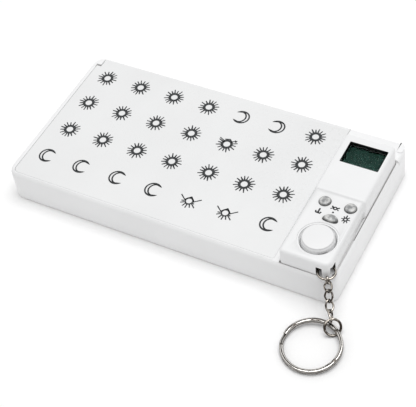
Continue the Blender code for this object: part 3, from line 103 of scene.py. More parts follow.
class Graph:
    """Short calls that add and join the nodes of one tree."""

    def __init__(self, tree: NodeTree) -> None:
        """Keeps the tree that the calls work on."""
        self.tree = tree

    def add(self, kind: str, values: dict | None = None, **settings: object) -> Node:
        """Adds a node.

        Args:
            kind: The node's type name, without its ShaderNode prefix.
            values: Values or sockets for its inputs, by name or number.
            settings: Attributes of the node.

        Returns:
            The new node.
        """
        prefix = "" if kind.startswith("NodeGroup") else "ShaderNode"
        node = self.tree.nodes.new(prefix + kind)
        for name, value in settings.items():
            setattr(node, name, value)
        self.fill(node, values or {})
        return node

    def fill(self, node: Node, values: dict) -> None:
        """Gives a node's inputs what they work with.

        Args:
            node: The node.
            values: Plain values, or outputs to link, by the inputs' names or numbers.
        """
        for name, value in values.items():
            if isinstance(value, NodeSocket):
                self.tree.links.new(value, node.inputs[name])
            else:
                node.inputs[name].default_value = value

    def effect(self, effect: Effect, values: dict[str, float]) -> Node:
        """Adds a shared effect with values for its inputs."""
        return self.add("Group", values, node_tree=EffectGroups.tree(effect))

    def place(self, kind: str = "Object") -> NodeSocket:
        """The output that gives the place on the piece, in its own or in spread coordinates."""
        return self.add("TexCoord").outputs[kind]

    def mix(self, share: object, low: object, high: object) -> NodeSocket:
        """The output of a colour mix of low and high."""
        values = {0: share, 6: self.opaque(low), 7: self.opaque(high)}
        return self.add("Mix", values, data_type="RGBA").outputs[2]

    def ranged(
        self, value: object, low: float, high: float, to_low: float = 0.0, to_high: float = 1.0
    ) -> NodeSocket:
        """The output of a clamped map of value from one range to another."""
        values = {"Value": value, "From Min": low, "From Max": high, "To Min": to_low, "To Max": to_high}
        return self.add("MapRange", values).outputs["Result"]

    def maths(self, operation: str, first: object, second: object) -> NodeSocket:
        """The output of a sum, product or other operation."""
        return self.add("Math", {0: first, 1: second}, operation=operation).outputs[0]

    def bump(self, height: NodeSocket, depth: float, strength: float) -> NodeSocket:
        """The normal with bumps of a height, a depth in metres and a strength."""
        return self.add("Bump", {"Height": height, "Distance": depth, "Strength": strength}).outputs["Normal"]

    @staticmethod
    def opaque(colour: object) -> object:
        """A colour with its alpha, or the socket that was given."""
        return colour if isinstance(colour, NodeSocket) else (*colour, 1.0)


class EffectGroups:
    """The shader node groups that several finishes share."""

    GRAIN_DETAIL = 3.0
    WAVE_DETAIL = 2.0
    WAVE_WEIGHT = 2.0
    WEAR_DETAIL = 4.0
    STREAK_DETAIL = 5.0
    CONVEX = (0.50, 0.58)
    WEAR_PATCHES = (0.35, 0.65)
    LEAST_WEAR = 0.3
    STREAKS = (0.42, 0.66)
    SHELTER_SAMPLES = 6

    @classmethod
    def tree(cls, effect: Effect) -> NodeTree:
        """The effect's node group, built the first time it is asked for.

        Args:
            effect: Which effect.

        Returns:
            Its node group.
        """
        builders = {
            Effect.GRAIN: cls.moulded_grain,
            Effect.OCCLUSION: cls.crevice_occlusion,
            Effect.WEAR: cls.edge_wear,
            Effect.STREAKS: cls.fine_streaks,
        }
        if effect.value not in bpy.data.node_groups:
            builders[effect]()
        return bpy.data.node_groups[effect.value]

    @staticmethod
    def start(effect: Effect, inputs: dict[str, float], outputs: Sequence[str]) -> tuple[Graph, Node, Node]:
        """Makes an effect's empty group.

        Args:
            effect: Which effect.
            inputs: Its inputs, with their first values.
            outputs: The names of its value outputs.

        Returns:
            The graph, the group's input node and its output node.
        """
        tree = bpy.data.node_groups.new(effect.value, "ShaderNodeTree")
        for label, value in inputs.items():
            socket = tree.interface.new_socket(label, in_out="INPUT", socket_type="NodeSocketFloat")
            socket.default_value = value
        for label in outputs:
            tree.interface.new_socket(label, in_out="OUTPUT", socket_type="NodeSocketFloat")
        graph = Graph(tree)
        return graph, graph.add("NodeGroupInput"), graph.add("NodeGroupOutput")

    @staticmethod
    def noise(graph: Graph, place: NodeSocket, scale: NodeSocket, detail: float) -> NodeSocket:
        """The output of a noise at a place, of a scale and a depth of detail."""
        return graph.add("TexNoise", {"Vector": place, "Scale": scale, "Detail": detail}).outputs["Fac"]

    @classmethod
    def moulded_grain(cls) -> None:
        """Fine spark-eroded grain and the slow waviness of a moulded face."""
        inputs = {"Grain scale": 9000.0, "Wave scale": 60.0}
        graph, given, result = cls.start(Effect.GRAIN, inputs, ("Height", "Cloud"))
        place = graph.place()
        grain = cls.noise(graph, place, given.outputs["Grain scale"], cls.GRAIN_DETAIL)
        wave = cls.noise(graph, place, given.outputs["Wave scale"], cls.WAVE_DETAIL)
        slow = graph.maths("MULTIPLY", wave, cls.WAVE_WEIGHT)
        graph.fill(result, {"Height": graph.maths("ADD", grain, slow), "Cloud": wave})

    @classmethod
    def crevice_occlusion(cls) -> None:
        """How closed in a point is, by ambient occlusion: high in seams, grooves and inner corners, where shade
        falls.
        """
        graph, given, result = cls.start(Effect.OCCLUSION, {"Reach": 0.0012, "Sharpness": 3.0}, ("Mask",))
        reach = {"Distance": given.outputs["Reach"]}
        open_share = graph.add("AmbientOcclusion", reach, samples=cls.SHELTER_SAMPLES).outputs["AO"]
        closed = graph.maths("SUBTRACT", 1.0, open_share)
        graph.fill(result, {"Mask": graph.maths("POWER", closed, given.outputs["Sharpness"])})

    @classmethod
    def edge_wear(cls) -> None:
        """Convex edges that handling has rubbed smooth, broken up by noise."""
        graph, given, result = cls.start(Effect.WEAR, {"Breakup scale": 700.0, "Amount": 1.0}, ("Mask",))
        noise = cls.noise(graph, graph.place(), given.outputs["Breakup scale"], cls.WEAR_DETAIL)
        edge = graph.ranged(graph.add("NewGeometry").outputs["Pointiness"], *cls.CONVEX)
        broken = graph.maths("MULTIPLY", edge, graph.ranged(noise, *cls.WEAR_PATCHES, cls.LEAST_WEAR))
        graph.fill(result, {"Mask": graph.maths("MULTIPLY", broken, given.outputs["Amount"])})

    @classmethod
    def fine_streaks(cls) -> None:
        """Uneven plating and fine rubbing marks on metal."""
        graph, given, result = cls.start(Effect.STREAKS, {"Scale": 900.0, "Stretch": 6.0}, ("Mask", "Height"))
        stretch = graph.add("CombineXYZ", {"X": 1.0, "Y": 1.0, "Z": given.outputs["Stretch"]}).outputs[0]
        drawn = graph.add("VectorMath", {0: graph.place(), 1: stretch}, operation="MULTIPLY").outputs[0]
        broad = cls.noise(graph, drawn, given.outputs["Scale"], cls.STREAK_DETAIL)
        graph.fill(result, {"Mask": graph.ranged(broad, *cls.STREAKS), "Height": broad})


@dataclass(frozen=True)
class Finish:
    """What every finish has: a name, a colour, a roughness and a level of plain gloss."""

    name: str
    colour: Colour
    roughness: float = 0.4
    specular: float = 0.5

    def material(self) -> Material:
        """The finish's material, built the first time it is asked for.

        Returns:
            The material.
        """
        found = bpy.data.materials.get(self.name)
        if found:
            return found
        made = bpy.data.materials.new(self.name)
        made.use_nodes = True
        graph = Graph(made.node_tree)
        shader = made.node_tree.nodes["Principled BSDF"]
        plain = {"Base Color": (*self.colour, 1.0), "Roughness": self.roughness}
        graph.fill(shader, plain | {"Specular IOR Level": self.specular})
        graph.fill(shader, self.detail(graph))
        return made

    def detail(self, graph: Graph) -> dict[str, object]:
        """Adds what sets this finish apart; the plain one has nothing more.

        Args:
            graph: The material's graph.

        Returns:
            What the shader's inputs get, by name.
        """
        return {}


@dataclass(frozen=True)
class Grain:
    """The grain of a mould, or another fine texture."""

    scale: float = 5200.0
    wave_scale: float = 45.0
    depth: float = 0.00002
    strength: float = 0.25

    def add_to(self, graph: Graph) -> tuple[NodeSocket, NodeSocket]:
        """Adds the grain to a material.

        Args:
            graph: The material's graph.

        Returns:
            The slow clouds that go with the grain, and the normal with its bumps.
        """
        grain = graph.effect(Effect.GRAIN, {"Grain scale": self.scale, "Wave scale": self.wave_scale})
        return grain.outputs["Cloud"], graph.bump(grain.outputs["Height"], self.depth, self.strength)


@dataclass(frozen=True)
class MouldedPlastic(Finish):
    """Injection-moulded opaque plastic with grain, polished edges and painted shade in its seams and inner
    corners.
    """

    specular: float = 0.45
    grain: Grain = Grain()
    cloud_range: Span = (0.35, 0.65)
    cloud_shade: float = 0.975
    # painted shade: the colour that seams and inner corners darken towards, by ambient occlusion, with its
    # share, reach and sharpness
    seam_shade: Colour = (0.50, 0.46, 0.42)
    seam_shade_share: float = 0.45
    seam_shade_reach: float = 0.0012
    seam_shade_power: float = 2.2
    wear_scale: float = 500.0
    rubbed_roughness: float = 0.24

    def detail(self, graph: Graph) -> dict[str, object]:
        """Adds grain, cloudiness, rubbed edges and painted shade in seams and inner corners.

        Args:
            graph: The material's graph.

        Returns:
            What the shader's inputs get, by name.
        """
        cloud, normal = self.grain.add_to(graph)
        seam_shade = graph.effect(Effect.OCCLUSION, {"Reach": self.seam_shade_reach, "Sharpness": self.seam_shade_power})
        wear = graph.effect(Effect.WEAR, {"Breakup scale": self.wear_scale, "Amount": 1.0})
        darker = tuple(self.cloud_shade * part for part in self.colour)
        cloudy = graph.mix(graph.ranged(cloud, *self.cloud_range), darker, self.colour)
        # painted shade: the colour darkens where ambient occlusion finds seams and inner corners
        share = graph.maths("MULTIPLY", seam_shade.outputs["Mask"], self.seam_shade_share)
        rubbed = graph.ranged(wear.outputs["Mask"], 0.0, 1.0, self.roughness, self.rubbed_roughness)
        return {"Base Color": graph.mix(share, cloudy, self.seam_shade), "Roughness": rubbed, "Normal": normal}


@dataclass(frozen=True)
class PrintInk(Finish):
    """Pad-printed ink, slightly uneven in its cover."""

    grain: Grain = Grain(4200.0, 900.0, 0.00001, 0.2)
    worn: Colour = (0.02, 0.023, 0.028)
    worn_range: Span = (0.52, 0.72)

    def detail(self, graph: Graph) -> dict[str, object]:
        """Adds the uneven cover and the ink's fine texture.

        Args:
            graph: The material's graph.

        Returns:
            What the shader's inputs get, by name.
        """
        cloud, normal = self.grain.add_to(graph)
        thin = graph.ranged(cloud, *self.worn_range)
        return {"Base Color": graph.mix(thin, self.colour, self.worn), "Normal": normal}


@dataclass(frozen=True)
class KeyPlastic(Finish):
    """Translucent grey plastic with a glossy skin, a pale middle and painted shade that darkens it towards its
    edge.
    """

    grain: Grain = Grain(2500.0, 620.0, 0.00008, 0.35)
    pale: Colour = (0.58, 0.58, 0.57)
    pale_range: Span = (0.40, 0.60)
    edge_shade: Colour = (0.03, 0.03, 0.03)
    edge_shade_range: Span = (0.34, 0.50)
    from_above: Place = (1.0, 1.0, 0.0)
    middle: Place = (0.5, 0.5, 0.0)
    coat: float = 0.3
    coat_roughness: float = 0.12

    def detail(self, graph: Graph) -> dict[str, object]:
        """Adds the cloudy middle, the painted shade towards the edge by distance from the key's middle, and the
        gloss.

        Args:
            graph: The material's graph.

        Returns:
            What the shader's inputs get, by name.
        """
        cloud, normal = self.grain.add_to(graph)
        spread = {0: graph.place("Generated"), 1: self.from_above}
        flat = graph.add("VectorMath", spread, operation="MULTIPLY").outputs[0]
        apart = graph.add("VectorMath", {0: flat, 1: self.middle}, operation="DISTANCE").outputs["Value"]
        body = graph.mix(graph.ranged(cloud, *self.pale_range), self.colour, self.pale)
        # painted shade: the key darkens towards its edge, by distance from its middle
        colour = graph.mix(graph.ranged(apart, *self.edge_shade_range), body, self.edge_shade)
        gloss = {"Coat Weight": self.coat, "Coat Roughness": self.coat_roughness}
        return {"Base Color": colour, "Normal": normal} | gloss


@dataclass(frozen=True)
class ClearWindow(Finish):
    """A clear coated plastic window that hardly mirrors, with the faintest ripple."""

    specular: float = 0.3
    grain: Grain = Grain(700.0, 120.0, 0.00001, 0.08)
    index: float = 1.06

    def detail(self, graph: Graph) -> dict[str, object]:
        """Makes the plastic clear and adds its ripple."""
        return {"Transmission Weight": 1.0, "IOR": self.index, "Normal": self.grain.add_to(graph)[1]}


@dataclass(frozen=True)
class DisplayGlass(Finish):
    """The dark green face of an unlit liquid crystal display, with a black border round the edge that is its
    sealant and also a painted shadow of the window's walls.
    """

    specular: float = 0.1
    grain: Grain = Grain(6000.0, 90.0, 0.000004, 0.1)
    node: str = "lcd_glass"
    seal_and_shadow: Colour = (0.003, 0.004, 0.004)
    seal_and_shadow_width: float = 0.00012
    seal_and_shadow_fade: float = 2.2
    cell_shade: float = 1.22

    def detail(self, graph: Graph) -> dict[str, object]:
        """Paints the black border of sealant and painted shadow by distance from the glass's edge, and gives
        the face a fine cell pattern.

        Args:
            graph: The material's graph.

        Returns:
            What the shader's inputs get, by name.
        """
        low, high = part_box(self.node)
        apart = graph.add("SeparateXYZ", {"Vector": graph.place()})
        edge: object = 1.0
        for axis, start, end in (("X", low.x, high.x), ("Y", low.y, high.y)):
            from_start = graph.maths("SUBTRACT", apart.outputs[axis], start)
            from_end = graph.maths("SUBTRACT", end, apart.outputs[axis])
            edge = graph.maths("MINIMUM", edge, graph.maths("MINIMUM", from_start, from_end))
        # black sealant border that also paints the shadow of the window's walls, fading inwards from the
        # glass's edge
        face = graph.ranged(edge, self.seal_and_shadow_width, self.seal_and_shadow_fade * self.seal_and_shadow_width)
        pale = tuple(self.cell_shade * part for part in self.colour)
        cloud, normal = self.grain.add_to(graph)
        body = graph.mix(cloud, self.colour, pale)
        return {"Base Color": graph.mix(face, self.seal_and_shadow, body), "Normal": normal}


@dataclass(frozen=True)
class PlatedMetal(Finish):
    """Nickel plating or plain steel, with painted reflections and shade: bright on its flats, a painted dark
    band of reflection on its shoulders and painted shade on its underside.
    """

    tarnish: Colour = (0.03, 0.02, 0.014)
    tarnish_share: float = 0.9
    shelter_reach: float = 0.0018
    shelter_power: float = 0.8
    streak_scale: float = 1400.0
    streak_stretch: float = 3.0
    streak_share: float = 0.25
    streak_depth: float = 0.00001
    streak_strength: float = 0.15
    rougher: float = 0.12
    # painted reflection and shade: a dark band where the surface faces up at a given slope, and a dark
    # underside
    dark: Colour = (0.022, 0.015, 0.010)
    reflection_and_shade_share: float = 0.95
    reflection_band_level: float = 0.52
    reflection_band_drift: Span = (-0.12, 0.40)
    reflection_band_width: float = 0.30
    underside_shade_range: Span = (-0.30, -0.10)
    reflection_patch_scale: float = 260.0

    def detail(self, graph: Graph) -> dict[str, object]:
        """Adds streaks, the painted dark reflection band and painted underside shade, sheltered tarnish and a
        slightly uneven polish.

        Args:
            graph: The material's graph.

        Returns:
            What the shader's inputs get, by name.
        """
        streaks = graph.effect(Effect.STREAKS, {"Scale": self.streak_scale, "Stretch": self.streak_stretch})
        patches = graph.effect(Effect.STREAKS, {"Scale": self.reflection_patch_scale, "Stretch": 1.0})
        shelter = graph.effect(Effect.OCCLUSION, {"Reach": self.shelter_reach, "Sharpness": self.shelter_power})
        streaked = graph.maths("MULTIPLY", streaks.outputs["Mask"], self.streak_share)
        hidden = graph.maths("MULTIPLY", shelter.outputs["Mask"], self.tarnish_share)
        base = graph.mix(graph.maths("MAXIMUM", streaked, hidden), self.colour, self.tarnish)
        # painted reflection and shade: darkens by how the surface faces, in a band of upward slopes that
        # patches shift, and on faces that look down
        normal = {"Vector": graph.add("NewGeometry").outputs["Normal"]}
        upright = graph.add("SeparateXYZ", normal).outputs["Z"]
        levels = (self.reflection_band_level + drift for drift in self.reflection_band_drift)
        level = graph.ranged(patches.outputs["Mask"], 0.0, 1.0, *levels)
        away = graph.maths("ABSOLUTE", graph.maths("SUBTRACT", upright, level), 0.0)
        band = graph.ranged(away, self.reflection_band_width / 2, self.reflection_band_width, 1.0, 0.0)
        under = graph.ranged(upright, *self.underside_shade_range, 1.0, 0.0)
        dark = graph.maths("MULTIPLY", graph.maths("MAXIMUM", under, band), self.reflection_and_shade_share)
        roughest = self.roughness + self.rougher
        return {
            "Metallic": 1.0,
            "Base Color": graph.mix(dark, base, self.dark),
            "Roughness": graph.ranged(streaks.outputs["Mask"], 0.0, 1.0, self.roughness, roughest),
            "Normal": graph.bump(streaks.outputs["Height"], self.streak_depth, self.streak_strength),
        }


@dataclass(frozen=True)
class CircuitLaminate(Finish):
    """Green solder resist over copper tracks."""

    copper: Colour = (0.10, 0.26, 0.10)
    track_scale: float = 420.0
    track_width: float = 0.06
    track_depth: float = 0.00004
    track_strength: float = 0.6

    def detail(self, graph: Graph) -> dict[str, object]:
        """Adds the raised tracks as a brick pattern under the resist.

        Args:
            graph: The material's graph.

        Returns:
            What the shader's inputs get, by name.
        """
        values = {"Vector": graph.place(), "Scale": self.track_scale, "Mortar Size": self.track_width}
        line = graph.add("TexBrick", values).outputs["Fac"]
        colour = graph.mix(line, self.colour, self.copper)
        return {"Base Color": colour, "Normal": graph.bump(line, self.track_depth, self.track_strength)}


class Finishes:
    """Every finish of the organizer."""

    # in the moulded plastics, the seam shade colour, share, reach and power set painted shade in seams and
    # inner corners
    WHITE = MouldedPlastic("white_housing_plastic", (0.885, 0.887, 0.891), 0.34)
    LIP = MouldedPlastic("seam_lip_plastic", (0.89, 0.892, 0.896), 0.34, seam_shade_share=0.0)
    UNIT = MouldedPlastic(
        "alarm_unit_plastic",
        (0.845, 0.848, 0.853),
        0.36,
        grain=Grain(strength=0.1),
        seam_shade_share=0.55,
        seam_shade_reach=0.0013,
        seam_shade_power=1.5,
        rubbed_roughness=0.35,
    )
    LID = MouldedPlastic(
        "lid_plastic", (0.81, 0.814, 0.816), 0.42, grain=Grain(strength=0.35), seam_shade_share=0.12
    )
    TRAY = MouldedPlastic("tray_moulding", (0.84, 0.85, 0.86), 0.42)
    INK = PrintInk("print_ink", (0.008, 0.010, 0.012), 0.6)
    KEY = KeyPlastic("cloudy_key_moulding", (0.25, 0.255, 0.26), 0.2)
    WINDOW = ClearWindow("window_plastic", (0.98, 1.0, 0.99), 0.02)
    DISPLAY = DisplayGlass("display_glass", (0.0085, 0.0290, 0.0225), 0.5)
    DISH = MouldedPlastic(
        "button_dish",
        (0.84, 0.842, 0.846),
        0.38,
        grain=Grain(strength=0.1),
        seam_shade_share=0.0,
        rubbed_roughness=0.36,
    )
    # dark finish that paints the shade inside the tunnel and the finger slot
    TUNNEL_SHADE = MouldedPlastic("tunnel_painted_shade", (0.045, 0.034, 0.027), 0.5, seam_shade=(0.004, 0.003, 0.003))
    MASK = MouldedPlastic("window_mask", (0.006, 0.007, 0.007), 0.5, seam_shade=(0.004, 0.004, 0.004))
    BOARD = CircuitLaminate("circuit_laminate", (0.02, 0.13, 0.06), 0.35)
    RUBBER = MouldedPlastic("strip_rubber", (0.025, 0.025, 0.026), 0.75, seam_shade=(0.01, 0.01, 0.01))
    DARK = MouldedPlastic("dark_moulding", (0.04, 0.04, 0.042), 0.45, seam_shade=(0.01, 0.01, 0.01))
    # the nickel and the chain carry painted dark reflections and painted underside shade; steel and the jacket
    # have none
    NICKEL = PlatedMetal("nickel_plate", (0.60, 0.58, 0.555), 0.13)
    CHAIN = PlatedMetal(
        "chain_plate", (0.66, 0.61, 0.55), 0.14, reflection_and_shade_share=0.96, reflection_band_level=0.42, reflection_band_width=0.40
    )
    STEEL = PlatedMetal(
        "plain_steel", (0.58, 0.58, 0.58), 0.28, tarnish=(0.12, 0.09, 0.07), streak_share=0.5, reflection_and_shade_share=0.0
    )
    JACKET = PlatedMetal(
        "battery_jacket",
        (0.22, 0.24, 0.27),
        0.32,
        tarnish=(0.12, 0.09, 0.07),
        tarnish_share=0.4,
        streak_share=0.35,
        reflection_and_shade_share=0.0,
    )


class Form:
    """A mesh in the making, in world coordinates, and the calls that shape a piece."""

    def __init__(self) -> None:
        """Starts an empty mesh."""
        self.bm = bmesh.new()

    def piece(self, name: str, finish: Finish, body: str, slot: Slot) -> Object:
        """Turns the mesh into a piece of the model.

        Args:
            name: The piece's name.
            finish: What it is made of.
            body: The body it moves with.
            slot: The record's slot for its finish; not used.

        Returns:
            The new object.
        """
        bmesh.ops.recalc_face_normals(self.bm, faces=self.bm.faces)
        obj = self.bare(name, finish.material())
        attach(obj, body)
        LOG.info("made %s on %s", name, body)
        return obj

    def bare(self, name: str, material: Material) -> Object:
        """Turns the mesh into an object of the scene, and ends it.

        Args:
            name: The object's name.
            material: Its first material.

        Returns:
            The new object.
        """
        mesh = bpy.data.meshes.new(name)
        self.bm.to_mesh(mesh)
        self.bm.free()
        mesh.materials.append(material)
        obj = bpy.data.objects.new(name, mesh)
        bpy.context.scene.collection.objects.link(obj)
        return obj

    @staticmethod
    def smooth(obj: Object, angle: float) -> None:
        """Shades an object smooth, with edges over the angle in degrees kept sharp."""
        obj.data.shade_smooth()
        obj.data.set_sharp_from_angle(angle=math.radians(angle))

    @staticmethod
    def break_edges(obj: Object, width: float, segments: int, angle: float) -> None:
        """Rounds the edges of an object.

        Args:
            obj: The object.
            width: How far in the rounding starts.
            segments: How many faces it has.
            angle: The least turn of a rounded edge, in degrees.
        """
        bevel = obj.modifiers.new("broken_edges", "BEVEL")
        bevel.width = width
        bevel.segments = segments
        bevel.limit_method = "ANGLE"
        bevel.angle_limit = math.radians(angle)
        bevel.use_clamp_overlap = True
        bevel.harden_normals = True

    def skin(self, rows: list[list[BMVert]], closed: bool) -> None:
        """Joins rows of points with faces.

        Args:
            rows: Loops of equally many points, one after the other.
            closed: Whether the last row joins the first one; if not, both end in a face.
        """
        for first, second in zip(rows, rows[1:] + rows[:1] if closed else rows[1:]):
            for i in range(len(first)):
                j = (i + 1) % len(first)
                self.bm.faces.new((first[i], first[j], second[j], second[i]))
        if not closed:
            self.bm.faces.new(list(reversed(rows[0])))
            self.bm.faces.new(rows[-1])

    def row(self, outline: Outline, z: float) -> list[BMVert]:
        """The new points of an outline at a height."""
        return [self.bm.verts.new((x, y, z)) for x, y in outline]

    def prism(self, outline: Outline, low: float, high: float) -> None:
        """Adds a closed upright prism of a convex outline."""
        self.skin([self.row(outline, z) for z in (low, high)], False)

    def band(self, outer: Outline, inner: Outline, low: float, high: float) -> None:
        """Adds a closed upright band between two outlines of equally many points."""
        edges = ((outer, low), (outer, high), (inner, high), (inner, low))
        self.skin([self.row(outline, z) for outline, z in edges], True)

    def ribbon(self, path: Outline, half: float, low: float, high: float) -> None:
        """Adds a thin upright strip along an open path.

        Args:
            path: The points along the strip's middle.
            half: How far it reaches to each side of them.
            low: The height of its foot.
            high: The height of its top.
        """
        rows = []
        for i, (x, y) in enumerate(path):
            before, after = Vector(path[max(i - 1, 0)]), Vector(path[min(i + 1, len(path) - 1)])
            along = (after - before).normalized()
            side = half * Vector((-along.y, along.x))
            corners = ((side, low), (side, high), (-side, high), (-side, low))
            rows.append([self.bm.verts.new((x + step.x, y + step.y, z)) for step, z in corners])
        self.skin(rows, False)

    @staticmethod
    def middle(node: str) -> Vector:
        """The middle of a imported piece."""
        low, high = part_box(node)
        return (low + high) / 2

    @staticmethod
    def level_ways(azimuth: float) -> tuple[Vector, Vector]:
        """The level directions across an azimuth and away along it."""
        across = Vector((math.cos(azimuth), math.sin(azimuth), 0.0))
        return across, Vector((across.y, -across.x, 0.0))

    @staticmethod
    def arc(centre: Span, radius: float, start: float, end: float, steps: int) -> Outline:
        """The points of an arc between two angles in degrees."""
        turns = (math.radians(start + (end - start) * i / steps) for i in range(steps + 1))
        return [(centre[0] + radius * math.cos(turn), centre[1] + radius * math.sin(turn)) for turn in turns]

    @staticmethod
    def turns(steps: int) -> list[float]:
        """The angles of a whole turn in equal steps."""
        return [2 * math.pi * i / steps for i in range(steps)]

    @staticmethod
    def circle(x: float, y: float, radius: float, steps: int) -> Outline:
        """The points of a circle."""
        return [(x + radius * math.cos(turn), y + radius * math.sin(turn)) for turn in Form.turns(steps)]

    def tube(self, path: Sequence[Vector], radius: float, sides: int) -> None:
        """Adds a closed round wire, whose section never twists against itself.

        Args:
            path: The points along the wire's middle, which close on themselves.
            radius: Half the wire's thickness.
            sides: How many faces go round it.
        """
        count = len(path)
        tangents = [(path[(i + 1) % count] - path[i - 1]).normalized() for i in range(count)]
        side = tangents[0].orthogonal().normalized()
        frames = []
        for tangent in tangents:
            side = (side - side.dot(tangent) * tangent).normalized()
            frames.append((side, tangent.cross(side)))
        last = (side - side.dot(tangents[0]) * tangents[0]).normalized()
        first, second = frames[0]
        drift = math.atan2(last.dot(second), last.dot(first))
        rows = []
        for i, (across, up) in enumerate(frames):
            angles = [turn - drift * i / count for turn in Form.turns(sides)]
            offsets = [math.cos(angle) * across + math.sin(angle) * up for angle in angles]
            rows.append([self.bm.verts.new(path[i] + radius * offset) for offset in offsets])
        self.skin(rows, True)


@dataclass
class FacePatch:
    """Another finish for some faces of a piece."""

    finish: Finish

    def covers(self, face: MeshPolygon) -> bool:
        """Whether a face belongs to the patch; a plain patch takes every face."""
        return True

    def paint(self, obj: Object) -> None:
        """Gives the finish to every face that belongs to the patch.

        Args:
            obj: The piece.
        """
        obj.data.materials.append(self.finish.material())
        index = len(obj.data.materials) - 1
        for face in obj.data.polygons:
            if self.covers(face):
                face.material_index = index


@dataclass
class RecessPatch(FacePatch):
    """The faces of one round recess, between two distances from its middle and two heights."""

    centre: Vector
    start: float
    reach: float
    low: float
    high: float

    def covers(self, face: MeshPolygon) -> bool:
        """Whether the face's middle lies within the recess."""
        apart = (face.center.xy - self.centre.xy).length
        return self.start < apart < self.reach and self.low < face.center.z < self.high


@dataclass
class RightPatch(FacePatch):
    """The faces that face right."""

    least: float = 0.85

    def covers(self, face: MeshPolygon) -> bool:
        """Whether the face faces right."""
        return face.normal.x > self.least


@dataclass
class MouldedShell:
    """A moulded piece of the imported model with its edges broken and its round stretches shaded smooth."""

    node: str
    body: str
    finish: Finish
    slot: Slot
    edge: float = 0.0
    segments: int = 3
    edge_angle: float = 40.0
    flat_angle: float = 0.4
    weld: float = 0.000002
    patches: tuple[FacePatch, ...] = ()

    def build(self) -> Object:
        """Copies the node's mesh, clears its triangulation and rounds its edges.

        Returns:
            The piece, which stands for the node.
        """
        form = Form()
        bm = form.bm
        bm.from_mesh(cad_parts[self.node].data)
        bmesh.ops.remove_doubles(bm, verts=bm.verts, dist=self.weld)
        flat = math.radians(self.flat_angle)
        bmesh.ops.dissolve_limit(bm, angle_limit=flat, verts=bm.verts, edges=bm.edges)
        obj = form.piece(f"{self.node}_shell", self.finish, self.body, self.slot)
        Form.smooth(obj, self.edge_angle)
        for patch in self.patches:
            patch.paint(obj)
        if self.edge > 0:
            Form.break_edges(obj, self.edge, self.segments, self.edge_angle)
        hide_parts(self.node)
        return obj


@dataclass
class Organizer:
    """The case, its tray and its lid."""

    case_edge: float = 0.0005
    lid_edge: float = 0.0002
    tray_edge: float = 0.0002
    rod_edge: float = 0.0001

    def build(self) -> None:
        """Builds the case, the tray, the rod and the lid."""
        MouldedShell("case_base", "base", Finishes.WHITE, Slot.HOUSING, self.case_edge).build()
        MouldedShell("pill_tray", "base", Finishes.TRAY, Slot.TRAY, self.tray_edge, 2).build()
        MouldedShell("hinge_rod", "base", Finishes.STEEL, Slot.STEEL, self.rod_edge).build()
        MouldedShell("lid", "lid", Finishes.LID, Slot.LID, self.lid_edge).build()


